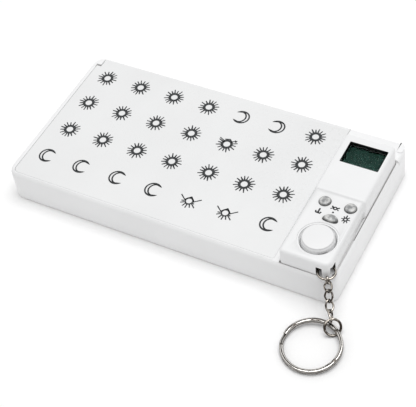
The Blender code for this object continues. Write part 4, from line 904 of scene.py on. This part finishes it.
@dataclass
class CaseTrim:
    """The lips that close the case's seams near their tops, and the block in its back corner."""

    lip_gap: float = 0.00024
    lip_half: float = 0.0002
    lip_rise: float = 0.00003
    lip_height: float = 0.0008
    lip_back: float = 0.0310
    lid_corner: float = 0.0025
    lid_small_corner: float = 0.0010
    post_x: float = -0.06912
    post_y: Span = (0.0329, 0.0362)
    post_lip_half: float = 0.00006
    unit_seam: float = 0.00015
    unit_lip_half: float = 0.00009
    unit_lip_y: Span = (-0.0352, -0.0155)
    rail_drop: float = 0.0015
    slot_y: Span = (-0.0155, -0.0030)
    unit_corner: float = 0.0012
    filler_gap: float = 0.00008
    filler_reach: float = 0.00028
    filler_height: float = 0.0015
    block_x: Span = (0.0703, 0.0727)
    block_y: Span = (0.0316, 0.0367)
    block_round: float = 0.0010
    block_corner: float = 0.0023
    block_low: float = 0.0138
    block_rise: float = 0.0004
    block_edge: float = 0.0004
    block_segments: int = 4
    rail_top: float = 0.0
    smooth_angle: float = 50.0
    edge_angle: float = 30.0
    steps: int = 8

    def build(self) -> None:
        """Builds the lips, the dark strip that paints the shade in the finger slot, the corner block and the
        corner filler.
        """
        self.rail_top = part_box("case_base")[1].z - self.rail_drop
        self.lid_lip()
        self.post_lip()
        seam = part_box("fob_rear_case")[1].x + self.unit_seam
        for name, span, finish in (
            ("unit_seam_lip", self.unit_lip_y, Finishes.LIP),
            ("finger_slot_shade", self.slot_y, Finishes.TUNNEL_SHADE),
        ):
            self.lip(name, [(seam, y) for y in span], self.unit_lip_half, self.rail_top, finish)
        self.corner_block()
        self.corner_filler()

    def lip(self, name: str, path: Outline, half: float, top: float, finish: Finish) -> None:
        """Builds a thin upright strip that closes a seam.

        Args:
            name: The piece's name.
            path: Where the seam runs.
            half: How far the strip reaches to each side of the path.
            top: The height of its top.
            finish: What it is made of.
        """
        form = Form()
        form.ribbon(path, half, top - self.lip_height, top)
        form.piece(name, finish, "base", Slot.HOUSING)

    def lid_lip(self) -> None:
        """Builds the lip that runs in the seam along the lid's left, front and right edges."""
        low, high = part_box("lid")
        left, right, front = low.x - self.lip_gap, high.x + self.lip_gap, low.y - self.lip_gap
        big, small = self.lid_corner + self.lip_gap, self.lid_small_corner + self.lip_gap
        path = [(left, self.lip_back)]
        path += Form.arc((left + big, front + big), big, 180, 270, self.steps)
        path += Form.arc((right - small, front + small), small, -90, 0, self.steps)
        path += [(right, self.lip_back)]
        self.lip("lid_seam_lip", path, self.lip_half, high.z + self.lip_rise, Finishes.LIP)

    def post_lip(self) -> None:
        """Builds the lip in the seam between the lid's barrel and the left hinge post."""
        path = [(self.post_x, y) for y in self.post_y]
        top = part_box("lid")[1].z - self.lip_rise
        self.lip("post_seam_lip", path, self.post_lip_half, top, Finishes.LIP)

    def corner_filler(self) -> None:
        """Builds the filling of the bay's front left corner, behind the unit's round corner."""
        low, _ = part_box("fob_rear_case")
        x, y = low.x + self.unit_corner, low.y + self.unit_corner
        left, front = low.x - self.filler_reach, low.y - self.filler_reach
        outline = Form.arc((x, y), self.unit_corner + self.filler_gap, 180, 270, self.steps)
        outline += [(x, front), (left, front), (left, y)]
        form = Form()
        form.prism(outline, self.rail_top - self.filler_height, self.rail_top)
        form.piece("bay_corner_filler", Finishes.LIP, "base", Slot.HOUSING)

    def corner_block(self) -> None:
        """Builds the low rounded block on the case's back right corner."""
        (left, right), (front, back) = self.block_x, self.block_y
        small, big, edge = self.block_round, self.block_corner, self.block_edge
        outline = Form.arc((left + small, front + small), small, 180, 270, self.steps)
        outline += Form.arc((right - small, front + small), small, -90, 0, self.steps)
        outline += Form.arc((right - big, back - big), big, 0, 90, self.steps)
        outline += Form.arc((left + edge, back - edge), edge, 90, 180, self.steps)
        form = Form()
        form.prism(outline, self.block_low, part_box("case_base")[1].z + self.block_rise)
        block = form.piece("case_corner_block", Finishes.LIP, "base", Slot.HOUSING)
        Form.smooth(block, self.smooth_angle)
        Form.break_edges(block, edge, self.block_segments, self.edge_angle)


@dataclass
class InkLayer:
    """A thin layer of ink on one flat face, drawn with rings and strokes."""

    ink_depth: float = 0.00003
    steps: int = 40
    unit: float = 0.001
    levels: Span = field(init=False)
    form: Form = field(init=False)

    def start(self, top: float) -> None:
        """Starts the layer on the face at that height."""
        self.levels = (top - self.ink_depth, top + self.ink_depth)
        self.form = Form()

    def stroke(self, start: Vector, end: Vector, width: float, tip: float) -> None:
        """Adds a straight stroke of ink.

        Args:
            start: Where it starts.
            end: Where it ends.
            width: Its width at the start.
            tip: Its width at the end.
        """
        along = (end - start).normalized()
        side = Vector((-along.y, along.x))
        at_start, at_end = side * width / 2, side * tip / 2
        corners = (start - at_start, end - at_end, end + at_end, start + at_start)
        self.form.prism([(corner.x, corner.y) for corner in corners], *self.levels)

    def strokes(self, centre: Vector, table: Sequence[Stroke]) -> None:
        """Adds the strokes of a table.

        Args:
            centre: Where the table's origin goes.
            table: Each stroke's start, end, width and tip, in the layer's units.
        """
        for x1, y1, x2, y2, width, tip in table:
            start, end = centre + self.unit * Vector((x1, y1)), centre + self.unit * Vector((x2, y2))
            self.stroke(start, end, self.unit * width, self.unit * tip)

    def ring(self, centre: Vector, outer: float, inner: float) -> None:
        """Adds a ring."""
        circles = [Form.circle(centre.x, centre.y, radius, self.steps) for radius in (outer, inner)]
        self.form.band(*circles, *self.levels)

    def dot(self, centre: Vector, radius: float) -> None:
        """Adds a filled dot."""
        self.form.prism(Form.circle(centre.x, centre.y, radius, self.steps // 2), *self.levels)


@dataclass
class PrintedMarks(InkLayer):
    """The suns and crescents that are printed on the lid, one above each cell."""

    ring_outer: float = 0.00254
    ring_inner: float = 0.00142
    low_ring_outer: float = 0.0019304
    low_ring_inner: float = 0.0012212
    ray_start: float = 0.00242
    ray_end: float = 0.00460
    ray_width: float = 0.00064
    ray_tip: float = 0.00044
    rays: int = 16
    spoiled_rays: int = 11
    wobble_steps: Span = (5.1, 1.7)
    turn_wobble: float = 0.10
    width_wobble: float = 0.2
    shorter: float = 0.13
    shorter_step: float = 3.3
    moon_radius: float = 0.00362
    moon_bite: float = 0.00272
    moon_offset: float = 0.00118
    moon_line: float = 0.00066
    moon_turn: float = math.radians(1)

    ROWS = (
        (Mark.OPEN_RIGHT,) * 4 + (Mark.SUNRISE,) * 2 + (Mark.OPEN_RIGHT,),
        (Mark.SUN,) * 7,
        (Mark.SUN,) * 4 + (Mark.SPOILED_SUN,) + (Mark.SUN,) * 2,
        (Mark.SUN,) * 4 + (Mark.OPEN_LEFT,) * 2 + (Mark.SUN,),
    )
    PLACES = (
        (
            (-62.0, -23.2), (-45.4, -23.2), (-28.2, -22.9), (-11.3, -23.0),
            (5.1, -22.8), (21.2, -22.8), (39.2, -21.5),
        ),
        ((-61.1, -6.7), (-44.6, -6.8), (-28.0, -6.7), (-11.6, -6.7), (5.3, -6.5), (21.4, -6.6), (38.1, -5.7)),
        ((-61.8, 10.0), (-45.0, 9.8), (-28.4, 10.1), (-11.6, 10.3), (5.0, 10.3), (21.5, 10.5), (38.2, 11.4)),
        ((-61.9, 26.2), (-45.2, 26.4), (-28.5, 26.5), (-11.8, 26.6), (3.7, 26.4), (19.9, 26.7), (37.1, 27.4)),
    )
    SUNRISE_STROKES = (
        (-4.5, 2.1, -1.8, -0.1, 0.52, 0.46),
        (4.5, 2.3, 1.9, 0.2, 0.52, 0.46),
        (-2.1, 0.1, 0.1, 2.4, 0.52, 0.52),
        (2.2, 0.1, -0.1, 2.4, 0.52, 0.52),
        (-3.1, -0.7, -2.0, -0.5, 0.50, 0.60),
        (-3.0, -1.9, -1.7, -1.1, 0.46, 0.56),
        (-1.5, -3.2, -0.9, -1.7, 0.46, 0.56),
        (0.0, -3.7, 0.0, -1.9, 0.50, 0.56),
        (1.7, -3.1, 1.0, -1.6, 0.46, 0.56),
        (3.5, -2.6, 1.7, -1.0, 0.50, 0.56),
        (2.6, -0.8, 1.9, -0.5, 0.46, 0.56),
    )
    SPOILED_STROKES = (
        (-4.3, 2.6, -1.5, 1.3, 0.46, 0.46),
        (-4.0, 1.6, -1.6, 0.8, 0.46, 0.46),
        (-1.9, 2.3, 0.2, 3.0, 0.46, 0.46),
        (0.2, 3.0, 1.8, 1.4, 0.46, 0.46),
        (1.4, 1.9, 3.4, 3.0, 0.52, 0.46),
        (2.4, 3.1, 3.3, 2.0, 0.46, 0.46),
    )

    def build(self) -> None:
        """Prints the marks."""
        self.start(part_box("lid")[1].z)
        for row, (marks, places) in enumerate(zip(self.ROWS, self.PLACES)):
            for column, (mark, place) in enumerate(zip(marks, places)):
                self.draw(mark, self.unit * Vector(place), column + len(marks) * row)
        self.form.piece("lid_marks", Finishes.INK, "lid", Slot.LID)

    def draw(self, mark: Mark, centre: Vector, number: int) -> None:
        """Draws one mark.

        Args:
            mark: Which mark.
            centre: Its centre on the lid.
            number: Its place in the grid, which varies the rays a little.
        """
        if mark is Mark.SUN:
            self.sun(centre, number, self.rays)
        elif mark is Mark.SPOILED_SUN:
            self.sun(centre, number, self.spoiled_rays)
            self.strokes(centre, self.SPOILED_STROKES)
        elif mark is Mark.SUNRISE:
            self.ring(centre, self.low_ring_outer, self.low_ring_inner)
            self.strokes(centre, self.SUNRISE_STROKES)
        else:
            turn = self.moon_turn + (math.pi if mark is Mark.OPEN_LEFT else 0.0)
            outlines = [self.moon_outline(centre, turn, inset) for inset in (0.0, self.moon_line)]
            self.form.band(*outlines, *self.levels)

    def sun(self, centre: Vector, number: int, rays: int) -> None:
        """Adds a ring with tapered rays of slightly uneven length.

        Args:
            centre: The sun's centre.
            number: What varies the rays.
            rays: How many of the rays are drawn, clockwise from the right-hand side.
        """
        self.ring(centre, self.ring_outer, self.ring_inner)
        ray_step, number_step = self.wobble_steps
        for ray in range(rays):
            wobble = math.sin(ray_step * ray + number_step * number)
            turn = -2 * math.pi * (ray + self.turn_wobble * wobble) / self.rays + 2 * math.pi / self.rays
            way = Vector((math.cos(turn), math.sin(turn)))
            shorter = self.shorter * (1 - math.cos(self.shorter_step * ray + number))
            reach = self.ray_end - (self.ray_end - self.ray_start) * shorter
            width = self.ray_width * (1 + self.width_wobble * wobble)
            self.stroke(centre + self.ray_start * way, centre + reach * way, width, self.ray_tip)

    def moon_outline(self, centre: Vector, turn: float, inset: float) -> Outline:
        """The outline of a crescent.

        Args:
            centre: The crescent's centre.
            turn: The way it opens.
            inset: How far the outline is drawn in.

        Returns:
            The outer edge from horn to horn, and the inner edge back.
        """
        radius = self.moon_radius - inset
        bite = self.moon_bite + inset
        offset = self.moon_offset
        horn = math.acos((radius**2 + offset**2 - bite**2) / (2 * radius * offset))
        inner_horn = math.atan2(radius * math.sin(horn), radius * math.cos(horn) - offset)
        points = []
        for step in range(self.steps):
            angle = turn + horn + (2 * math.pi - 2 * horn) * step / self.steps
            points.append((centre.x + radius * math.cos(angle), centre.y + radius * math.sin(angle)))
        middle_x, middle_y = centre.x + offset * math.cos(turn), centre.y + offset * math.sin(turn)
        for step in range(self.steps):
            angle = turn - inner_horn - (2 * math.pi - 2 * inner_horn) * step / self.steps
            points.append((middle_x + bite * math.cos(angle), middle_y + bite * math.sin(angle)))
        return points


@dataclass
class KeyLegends(InkLayer):
    """The small marks beside the keys of the alarm unit."""

    sun_place: Span = (0.06815, -0.0137)
    crossed_place: Span = (0.06244, -0.01015)
    branch_place: Span = (0.05712, -0.01376)
    sun_outer: float = 0.00098
    sun_inner: float = 0.00040
    crossed_outer: float = 0.00088
    crossed_inner: float = 0.00034
    dot_drop: float = 0.002112
    dot_radius: float = 0.00040

    SUN_STROKES = (
        (0.0, 0.7, 0.0, 2.1, 0.52, 0.50),
        (0.6, 0.6, 1.25, 1.4, 0.46, 0.42),
        (0.8, 0.0, 1.8, 0.05, 0.46, 0.42),
        (0.6, -0.6, 1.15, -1.4, 0.46, 0.42),
        (0.0, -0.8, 0.0, -1.95, 0.46, 0.42),
        (-0.6, -0.6, -1.05, -1.3, 0.46, 0.42),
        (-0.8, 0.0, -1.7, 0.0, 0.46, 0.42),
        (-0.6, 0.6, -1.1, 1.25, 0.46, 0.42),
    )
    CROSSED_STROKES = (
        (-1.55, 0.85, -0.50, -0.10, 0.50, 0.95),
        (-1.70, -0.65, -1.05, -0.30, 0.44, 0.44),
        (1.65, 0.80, 0.65, 0.05, 0.50, 0.70),
        (1.65, -0.70, 1.00, -0.35, 0.44, 0.44),
    )
    BRANCH_STROKES = (
        (0.05, 1.6, 0.0, -0.75, 0.62, 0.74),
        (-1.15, 0.15, -0.75, -0.85, 0.60, 0.62),
        (1.15, 0.05, 0.75, -1.0, 0.56, 0.58),
        (-0.9, -0.70, 0.8, -0.75, 0.60, 0.60),
    )

    def build(self) -> None:
        """Prints the three legends."""
        self.start(Keypad.top())
        sun, crossed, branch = Vector(self.sun_place), Vector(self.crossed_place), Vector(self.branch_place)
        self.ring(sun, self.sun_outer, self.sun_inner)
        self.strokes(sun, self.SUN_STROKES)
        self.ring(crossed, self.crossed_outer, self.crossed_inner)
        self.strokes(crossed, self.CROSSED_STROKES)
        self.dot(crossed - Vector((0.0, self.dot_drop)), self.dot_radius)
        self.strokes(branch, self.BRANCH_STROKES)
        self.form.piece("key_legends", Finishes.INK, "alarm_unit", Slot.HOUSING)


class Keypad:
    """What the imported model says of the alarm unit's keypad."""

    LEAST_DROP = 0.0003
    MOST_DROP = 0.0012
    DIGITS = 5

    @classmethod
    def top(cls) -> float:
        """Finds the height of the keypad's flat top.

        Returns:
            The commonest height a little below the cover's highest.
        """
        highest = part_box("fob_front_cover")[1].z
        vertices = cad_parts["fob_front_cover"].data.vertices
        heights = (round(vertex.co.z, cls.DIGITS) for vertex in vertices)
        return mode(height for height in heights if cls.LEAST_DROP < highest - height < cls.MOST_DROP)


@dataclass
class AlarmUnit:
    """The lift-out alarm unit: shells, keys, display and the works inside."""

    shell_edge: float = 0.0002
    key_edge: float = 0.00012
    lens_edge: float = 0.00006
    lens_lap: float = 0.00037
    mask_wall: float = 0.00012
    sliver: float = 0.0001
    tunnel_post: float = 0.0022
    tunnel_radius: float = 0.0041
    tunnel_height: float = 0.0056
    dish_radius: float = 0.0083
    dish_depth: float = 0.0040
    strip_inset: float = 0.0005
    strip_half: float = 0.00022
    strip_y: Span = (-0.0305, -0.0155)
    shoulder: float = 0.0011
    shoulder_stretch: float = 1.55
    gap_ring_outer: float = 0.0080
    gap_ring_gap: float = 0.00006
    gap_ring_drop: float = 0.00035
    gap_ring_height: float = 0.0004
    gap_ring_angle: float = 40.0
    round_steps: int = 96

    KEYS = {"key_round_left": "key_left", "key_round_right": "key_right", "key_bean": "key_bean"}
    WORKS = (
        (Finishes.RUBBER, Slot.RUBBER, ("contact_strip",)),
        (Finishes.BOARD, Slot.BOARD, ("circuit_board",)),
        (Finishes.DARK, Slot.DARK, ("buzzer",)),
        (Finishes.JACKET, Slot.BATTERY, ("battery_cell",)),
        (Finishes.STEEL, Slot.STEEL, ("battery_contact_front", "battery_contact_back", "battery_door_screw")),
        (Finishes.STEEL, Slot.STEEL, ("fob_screw_back_left", "fob_screw_back_right", "fob_screw_front_left")),
        (Finishes.DARK, Slot.DARK, ("switch_left", "switch_right", "switch_bean", "switch_button")),
    )

    def build(self) -> None:
        """Builds the shells, the display, the keys and the works."""
        unit = "alarm_unit"
        # the tunnel patches paint shade inside the tunnel; the right-facing faces and the dish take a finish
        # without painted seam shade
        cover_patches = (RightPatch(Finishes.DISH), self.tunnel(), self.dish())
        for node, edge, patches in (
            ("battery_door", self.shell_edge, ()),
            ("fob_rear_case", self.shell_edge, (self.tunnel_floor_shade(),)),
            ("fob_front_cover", 0.0, cover_patches),
        ):
            MouldedShell(node, unit, Finishes.UNIT, Slot.HOUSING, edge, patches=patches).build()
        self.button()
        for node, body in self.KEYS.items():
            MouldedShell(node, body, Finishes.KEY, Slot.KEYS, self.key_edge).build()
        MouldedShell("lcd_lens", unit, Finishes.WINDOW, Slot.WINDOW, self.lens_edge).build()
        MouldedShell("lcd_glass", unit, Finishes.DISPLAY, Slot.DISPLAY).build()
        self.window_mask()
        self.seam_strip()
        for finish, slot, nodes in self.WORKS:
            for node in nodes:
                MouldedShell(node, unit, finish, slot).build()

    def button(self) -> None:
        """Builds the large button with its wide round shoulder, and the ring that fills the gap round it."""
        cap = MouldedShell("big_button", "big_button", Finishes.DISH, Slot.HOUSING).build()
        low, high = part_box("big_button")
        middle = (low.xy + high.xy) / 2
        radius = (high.x - low.x) / 2
        for vertex in cap.data.vertices:
            across = vertex.co.xy - middle
            inset = radius - across.length
            if vertex.co.z > high.z - self.shoulder and inset < self.shoulder + self.sliver:
                vertex.co.xy = middle + across.normalized() * (radius - inset * self.shoulder_stretch)
        form = Form()
        outer, inner = (
            Form.circle(*middle, reach, self.round_steps)
            for reach in (self.gap_ring_outer, radius + self.gap_ring_gap)
        )
        top = Keypad.top() - self.gap_ring_drop
        form.band(outer, inner, top - self.gap_ring_height, top)
        ring = form.piece("button_gap_ring", Finishes.DISH, "alarm_unit", Slot.HOUSING)
        Form.smooth(ring, self.gap_ring_angle)

    def recess(self, finish: Finish, node: str, start: float, reach: float, heights: Span) -> RecessPatch:
        """Another finish in a round recess.

        Args:
            finish: The finish.
            node: The piece in the middle of the recess.
            start: The distance from its middle where the recess starts.
            reach: The distance where it ends.
            heights: Its lowest and highest level.

        Returns:
            The patch.
        """
        return RecessPatch(finish, Form.middle(node), start, reach, *heights)

    def tunnel(self) -> RecessPatch:
        """The dark finish that paints the shade on the walls of the tunnel that the wire loop passes through,
        but not on its post.

        Returns:
            The patch.
        """
        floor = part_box("fob_front_cover")[0].z
        heights = (floor + self.sliver, floor + self.tunnel_height)
        return self.recess(Finishes.TUNNEL_SHADE, "key_loop", self.tunnel_post, self.tunnel_radius, heights)

    def tunnel_floor_shade(self) -> RecessPatch:
        """The dark finish that paints the shade on the rear shell where it closes the tunnel from below.

        Returns:
            The patch.
        """
        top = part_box("fob_rear_case")[1].z
        heights = (top - self.tunnel_height, top + self.sliver)
        return self.recess(Finishes.TUNNEL_SHADE, "key_loop", 0.0, self.tunnel_radius, heights)

    def dish(self) -> RecessPatch:
        """The finish of the dish round the large button, without painted seam shade.

        Returns:
            The patch.
        """
        top = Keypad.top()
        heights = (top - self.dish_depth, top - self.sliver)
        return self.recess(Finishes.DISH, "big_button", 0.0, self.dish_radius, heights)

    def seam_strip(self) -> None:
        """Builds the strip that closes the seam between the shells, beside the large button."""
        top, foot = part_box("fob_front_cover")[0].z + self.sliver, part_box("fob_rear_case")[1].z - self.sliver
        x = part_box("fob_rear_case")[1].x - self.strip_inset
        form = Form()
        form.ribbon([(x, y) for y in self.strip_y], self.strip_half, foot, top)
        form.piece("shell_seam_strip", Finishes.LIP, "alarm_unit", Slot.HOUSING)

    def window_mask(self) -> None:
        """Builds the black mask that lines the window above the lens."""
        lens_low, lens_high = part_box("lcd_lens")
        form = Form()
        outlines = []
        for lap in (self.lens_lap, self.lens_lap + self.mask_wall):
            left, right = lens_low.x + lap, lens_high.x - lap
            front, back = lens_low.y + lap, lens_high.y - lap
            outlines.append([(left, front), (right, front), (right, back), (left, back)])
        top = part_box("fob_front_cover")[1].z - self.sliver
        form.band(*outlines, lens_high.z + self.mask_wall, top)
        form.piece("window_mask", Finishes.MASK, "alarm_unit", Slot.DARK)


@dataclass
class KeyChain:
    """The wire loop, the curb links, the jump ring and the split ring."""

    azimuth: float = math.radians(29)
    slopes: tuple[float, ...] = tuple(math.radians(slope) for slope in (4, 20, 36, 66, 77))
    link_wire: float = 0.0004
    link_slack: float = 0.00002
    clearance: float = 0.00025
    link_length: float = 0.0057
    link_width: float = 0.0036
    first_length: float = 0.0040
    first_width: float = 0.0030
    twist: float = math.radians(45)
    first_twist: float = math.radians(90)
    last_twist: float = math.radians(-90)
    loop_radius: float = 0.0033
    loop_wire: float = 0.00045
    jump_radius: float = 0.0031
    jump_wire: float = 0.0005
    jump_lean: float = math.radians(50.5)
    jump_azimuth: float = math.radians(41)
    table_gap: float = 0.00005
    link_steps: int = 64
    ring_steps: int = 96
    sides: int = 16

    def build(self) -> None:
        """Builds the loop, the links, the jump ring and the split ring."""
        middle = Form.middle("key_loop")
        outward, across, _ = self.directions(math.pi / 2)
        self.wire("key_loop", self.circle(middle, self.loop_radius, outward, across), self.loop_wire)
        end = self.links(middle + self.loop_radius * outward)
        SplitRing().build(self.jump_ring(end))

    def wire(self, name: str, path: Sequence[Vector], radius: float) -> None:
        """Builds a bent wire that stands for the node and rides on the body of the same name.

        Args:
            name: The node's name.
            path: The points along the wire's middle.
            radius: Half its thickness.
        """
        form = Form()
        form.tube(path, radius, self.sides)
        obj = form.piece(f"{name}_wire", Finishes.CHAIN, name, Slot.NICKEL)
        obj.data.shade_smooth()
        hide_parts(name)

    def circle(self, centre: Vector, radius: float, first: Vector, second: Vector) -> list[Vector]:
        """The points of a circle in the plane of two directions at a right angle."""
        turns = Form.turns(self.ring_steps)
        return [centre + radius * (math.cos(turn) * first + math.sin(turn) * second) for turn in turns]

    def directions(self, slope: float) -> tuple[Vector, Vector, Vector]:
        """A link's directions at a slope.

        Args:
            slope: Its angle from straight down.

        Returns:
            Down the chain, across it and out of it.
        """
        across, outward = Form.level_ways(self.azimuth)
        down = math.sin(slope) * outward - math.cos(slope) * UP
        return down, across, down.cross(across)

    def links(self, pivot: Vector) -> Vector:
        """Builds the twisted links.

        Args:
            pivot: Where the first link meets the loop.

        Returns:
            Where the last link meets the jump ring.
        """
        crossing = 2 * self.link_wire + self.clearance
        for index, slope in enumerate(self.slopes):
            first, last = index == 0, index == len(self.slopes) - 1
            down, across, out = self.directions(slope)
            half_length = (self.first_length if first else self.link_length) / 2 - self.link_wire
            half_width = (self.first_width if first else self.link_width) / 2 - self.link_wire
            head = self.loop_wire + self.link_wire + self.clearance if first else crossing / 2
            centre = pivot + (half_length - head) * down
            start = self.first_twist if first else -self.twist
            end = self.last_twist if last else self.twist
            path = []
            for i in range(self.link_steps):
                turn = 2 * math.pi * (i + 0.5) / self.link_steps
                along = math.sin(turn)
                angle = start + (end - start) * (along + 1) / 2
                side = math.cos(angle) * across + math.sin(angle) * out
                path.append(centre + half_length * along * down + half_width * math.cos(turn) * side)
            self.wire(f"chain_link_{index + 1}", path, self.link_wire - self.link_slack)
            pivot = pivot + (2 * half_length - head - crossing / 2) * down
        return pivot

    def jump_ring(self, end: Vector) -> Vector:
        """Builds the round ring that leans on the table.

        Args:
            end: Where the last link ends.

        Returns:
            The ring's centre.
        """
        level, away = Form.level_ways(self.jump_azimuth)
        uphill = math.sin(self.jump_lean) * UP - math.cos(self.jump_lean) * away
        crossing = (self.link_wire + self.clearance + self.jump_wire) / 2
        centre = end - crossing * self.directions(self.slopes[-1])[0] - self.jump_radius * uphill
        centre.z = self.jump_radius * math.sin(self.jump_lean) + self.jump_wire + self.table_gap
        self.wire("jump_ring", self.circle(centre, self.jump_radius, uphill, level), self.jump_wire)
        return centre


@dataclass
class SplitRing:
    """Two turns of flat wire, one on the other, with a step where one passes into the other."""

    radius: float = 0.0110
    reach: float = 0.0106
    band: float = 0.0015
    coil: float = 0.0009
    gap: float = 0.00015
    step: float = math.radians(24)
    start: float = math.radians(200)
    azimuth: float = math.radians(-24)
    tilt: float = math.radians(3.4)
    table_gap: float = 0.00005
    corner: float = 0.00042
    groove: float = 0.00018
    groove_depth: float = 0.00024
    corner_steps: int = 4
    steps: int = 150
    smooth_angle: float = 50.0

    def section(self) -> Outline:
        """The rounded and grooved section of the flat wire.

        Returns:
            Its points, as (outward, up) pairs.
        """
        points = []
        half_band, half_coil = self.band / 2 - self.corner, self.coil / 2 - self.corner
        for quarter, (out, up) in enumerate(((1, 1), (-1, 1), (-1, -1), (1, -1))):
            centre = (out * half_band, up * half_coil)
            points += Form.arc(centre, self.corner, 90 * quarter, 90 * quarter + 90, self.corner_steps)
            if quarter == 0:
                top = half_coil + self.corner
                points += [(self.groove, top), (0.0, top - self.groove_depth), (-self.groove, top)]
        return points

    def build(self, through: Vector) -> None:
        """Builds the ring where it passes through the jump ring.

        Args:
            through: The jump ring's centre.
        """
        outer_radius = self.radius + self.band / 2
        level, away = Form.level_ways(self.azimuth)
        centre = through + self.reach * away
        centre.z = self.table_gap + outer_radius * math.sin(self.tilt)
        tilt = Matrix.Rotation(self.tilt, 3, level)
        sweep = 4 * math.pi - self.step
        count = round(self.steps * sweep / (2 * math.pi))
        section = self.section()
        form = Form()
        rows = []
        for i in range(count + 1):
            turn = sweep * i / count
            share = min(max((turn - 2 * math.pi + self.step) / self.step, 0.0), 1.0)
            height = (self.coil + self.gap) * share * share * (3 - 2 * share) + self.coil / 2
            angle = self.start + turn
            outward = Vector((math.cos(angle), math.sin(angle), 0.0))
            points = [(self.radius + out) * outward + (height + up) * UP for out, up in section]
            rows.append([form.bm.verts.new(centre + tilt @ point) for point in points])
        form.skin(rows, False)
        obj = form.piece("split_ring_coils", Finishes.NICKEL, "split_ring", Slot.NICKEL)
        Form.smooth(obj, self.smooth_angle)
        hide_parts("split_ring")


@dataclass
class Studio:
    """A pale floor, soft light from above and the camera at the photograph's angle."""

    floor_half: float = 3.0
    floor_level: float = -0.0001
    floor_colour: Colour = (0.995, 0.995, 0.995)
    floor_roughness: float = 0.9
    floor_specular: float = 0.1
    sky_colour: Colour = (1.0, 1.0, 1.0)
    sky_strength: float = 0.58
    lamp_size: float = 0.8
    lamp_power: float = 5.4
    lamp_place: Place = (0.08, 0.10, 1.0)
    azimuth: float = math.radians(34.742)
    elevation: float = math.radians(48.854)
    roll: float = math.radians(-9.473)
    target: Place = (0.010188, -0.017512, 0.010)
    distance: float = 0.47905
    lens: float = 103.97
    sensor: float = 36.0
    nearest: float = 0.01

    def build(self) -> None:
        """Builds the floor, the light and the camera, and sets the plain view transform."""
        self.floor()
        self.sky()
        self.lamp()
        self.camera()
        bpy.context.scene.view_settings.view_transform = "Standard"

    def floor(self) -> None:
        """Lays the plain pale floor, which keeps the object's shadow."""
        paper = Finish("floor_paper", self.floor_colour, self.floor_roughness, self.floor_specular)
        half = self.floor_half
        corners = [(-half, -half), (half, -half), (half, half), (-half, half)]
        form = Form()
        form.bm.faces.new(form.row(corners, self.floor_level))
        form.bare("floor", paper.material())

    def sky(self) -> None:
        """Lights the object evenly and shows white to the camera and in reflections."""
        world = bpy.data.worlds.new("studio")
        world.use_nodes = True
        graph = Graph(world.node_tree)
        background = world.node_tree.nodes["Background"]
        path = graph.add("LightPath")
        seen = graph.maths("MAXIMUM", path.outputs["Is Camera Ray"], path.outputs["Is Glossy Ray"])
        seen = graph.maths("MAXIMUM", seen, path.outputs["Is Transmission Ray"])
        strength = graph.ranged(seen, 0.0, 1.0, self.sky_strength)
        graph.fill(background, {"Strength": strength, "Color": (*self.sky_colour, 1.0)})
        bpy.context.scene.world = world

    def lamp(self) -> None:
        """Hangs one large soft lamp above the object."""
        light = bpy.data.lights.new("overhead", "AREA")
        light.shape = "DISK"
        light.size = self.lamp_size
        light.energy = self.lamp_power
        lamp = bpy.data.objects.new("overhead", light)
        lamp.location = self.lamp_place
        lamp.rotation_euler = Vector(self.lamp_place).to_track_quat("Z", "Y").to_euler()
        bpy.context.scene.collection.objects.link(lamp)

    def camera(self) -> None:
        """Sets the camera by its angles round the target."""
        level = math.cos(self.elevation)
        towards = Vector(
            (math.sin(self.azimuth) * level, -math.cos(self.azimuth) * level, math.sin(self.elevation))
        )
        right = UP.cross(towards).normalized()
        over = towards.cross(right)
        across = math.cos(self.roll) * right + math.sin(self.roll) * over
        over = math.cos(self.roll) * over - math.sin(self.roll) * right
        data = bpy.data.cameras.new("camera")
        data.lens = self.lens
        data.sensor_width = self.sensor
        data.clip_start = self.nearest
        camera = bpy.data.objects.new("camera", data)
        turned = Matrix((across, over, towards)).transposed().to_4x4()
        camera.matrix_world = Matrix.Translation(Vector(self.target) + self.distance * towards) @ turned
        bpy.context.scene.collection.objects.link(camera)
        bpy.context.scene.camera = camera


def main() -> None:
    """Builds the studio and every sub-assembly in order."""
    logging.basicConfig(level=logging.INFO, format="%(name)s: %(message)s")
    for assembly in (Studio, Organizer, CaseTrim, PrintedMarks, AlarmUnit, KeyLegends, KeyChain):
        assembly().build()


if __name__ == "__main__":
    main()
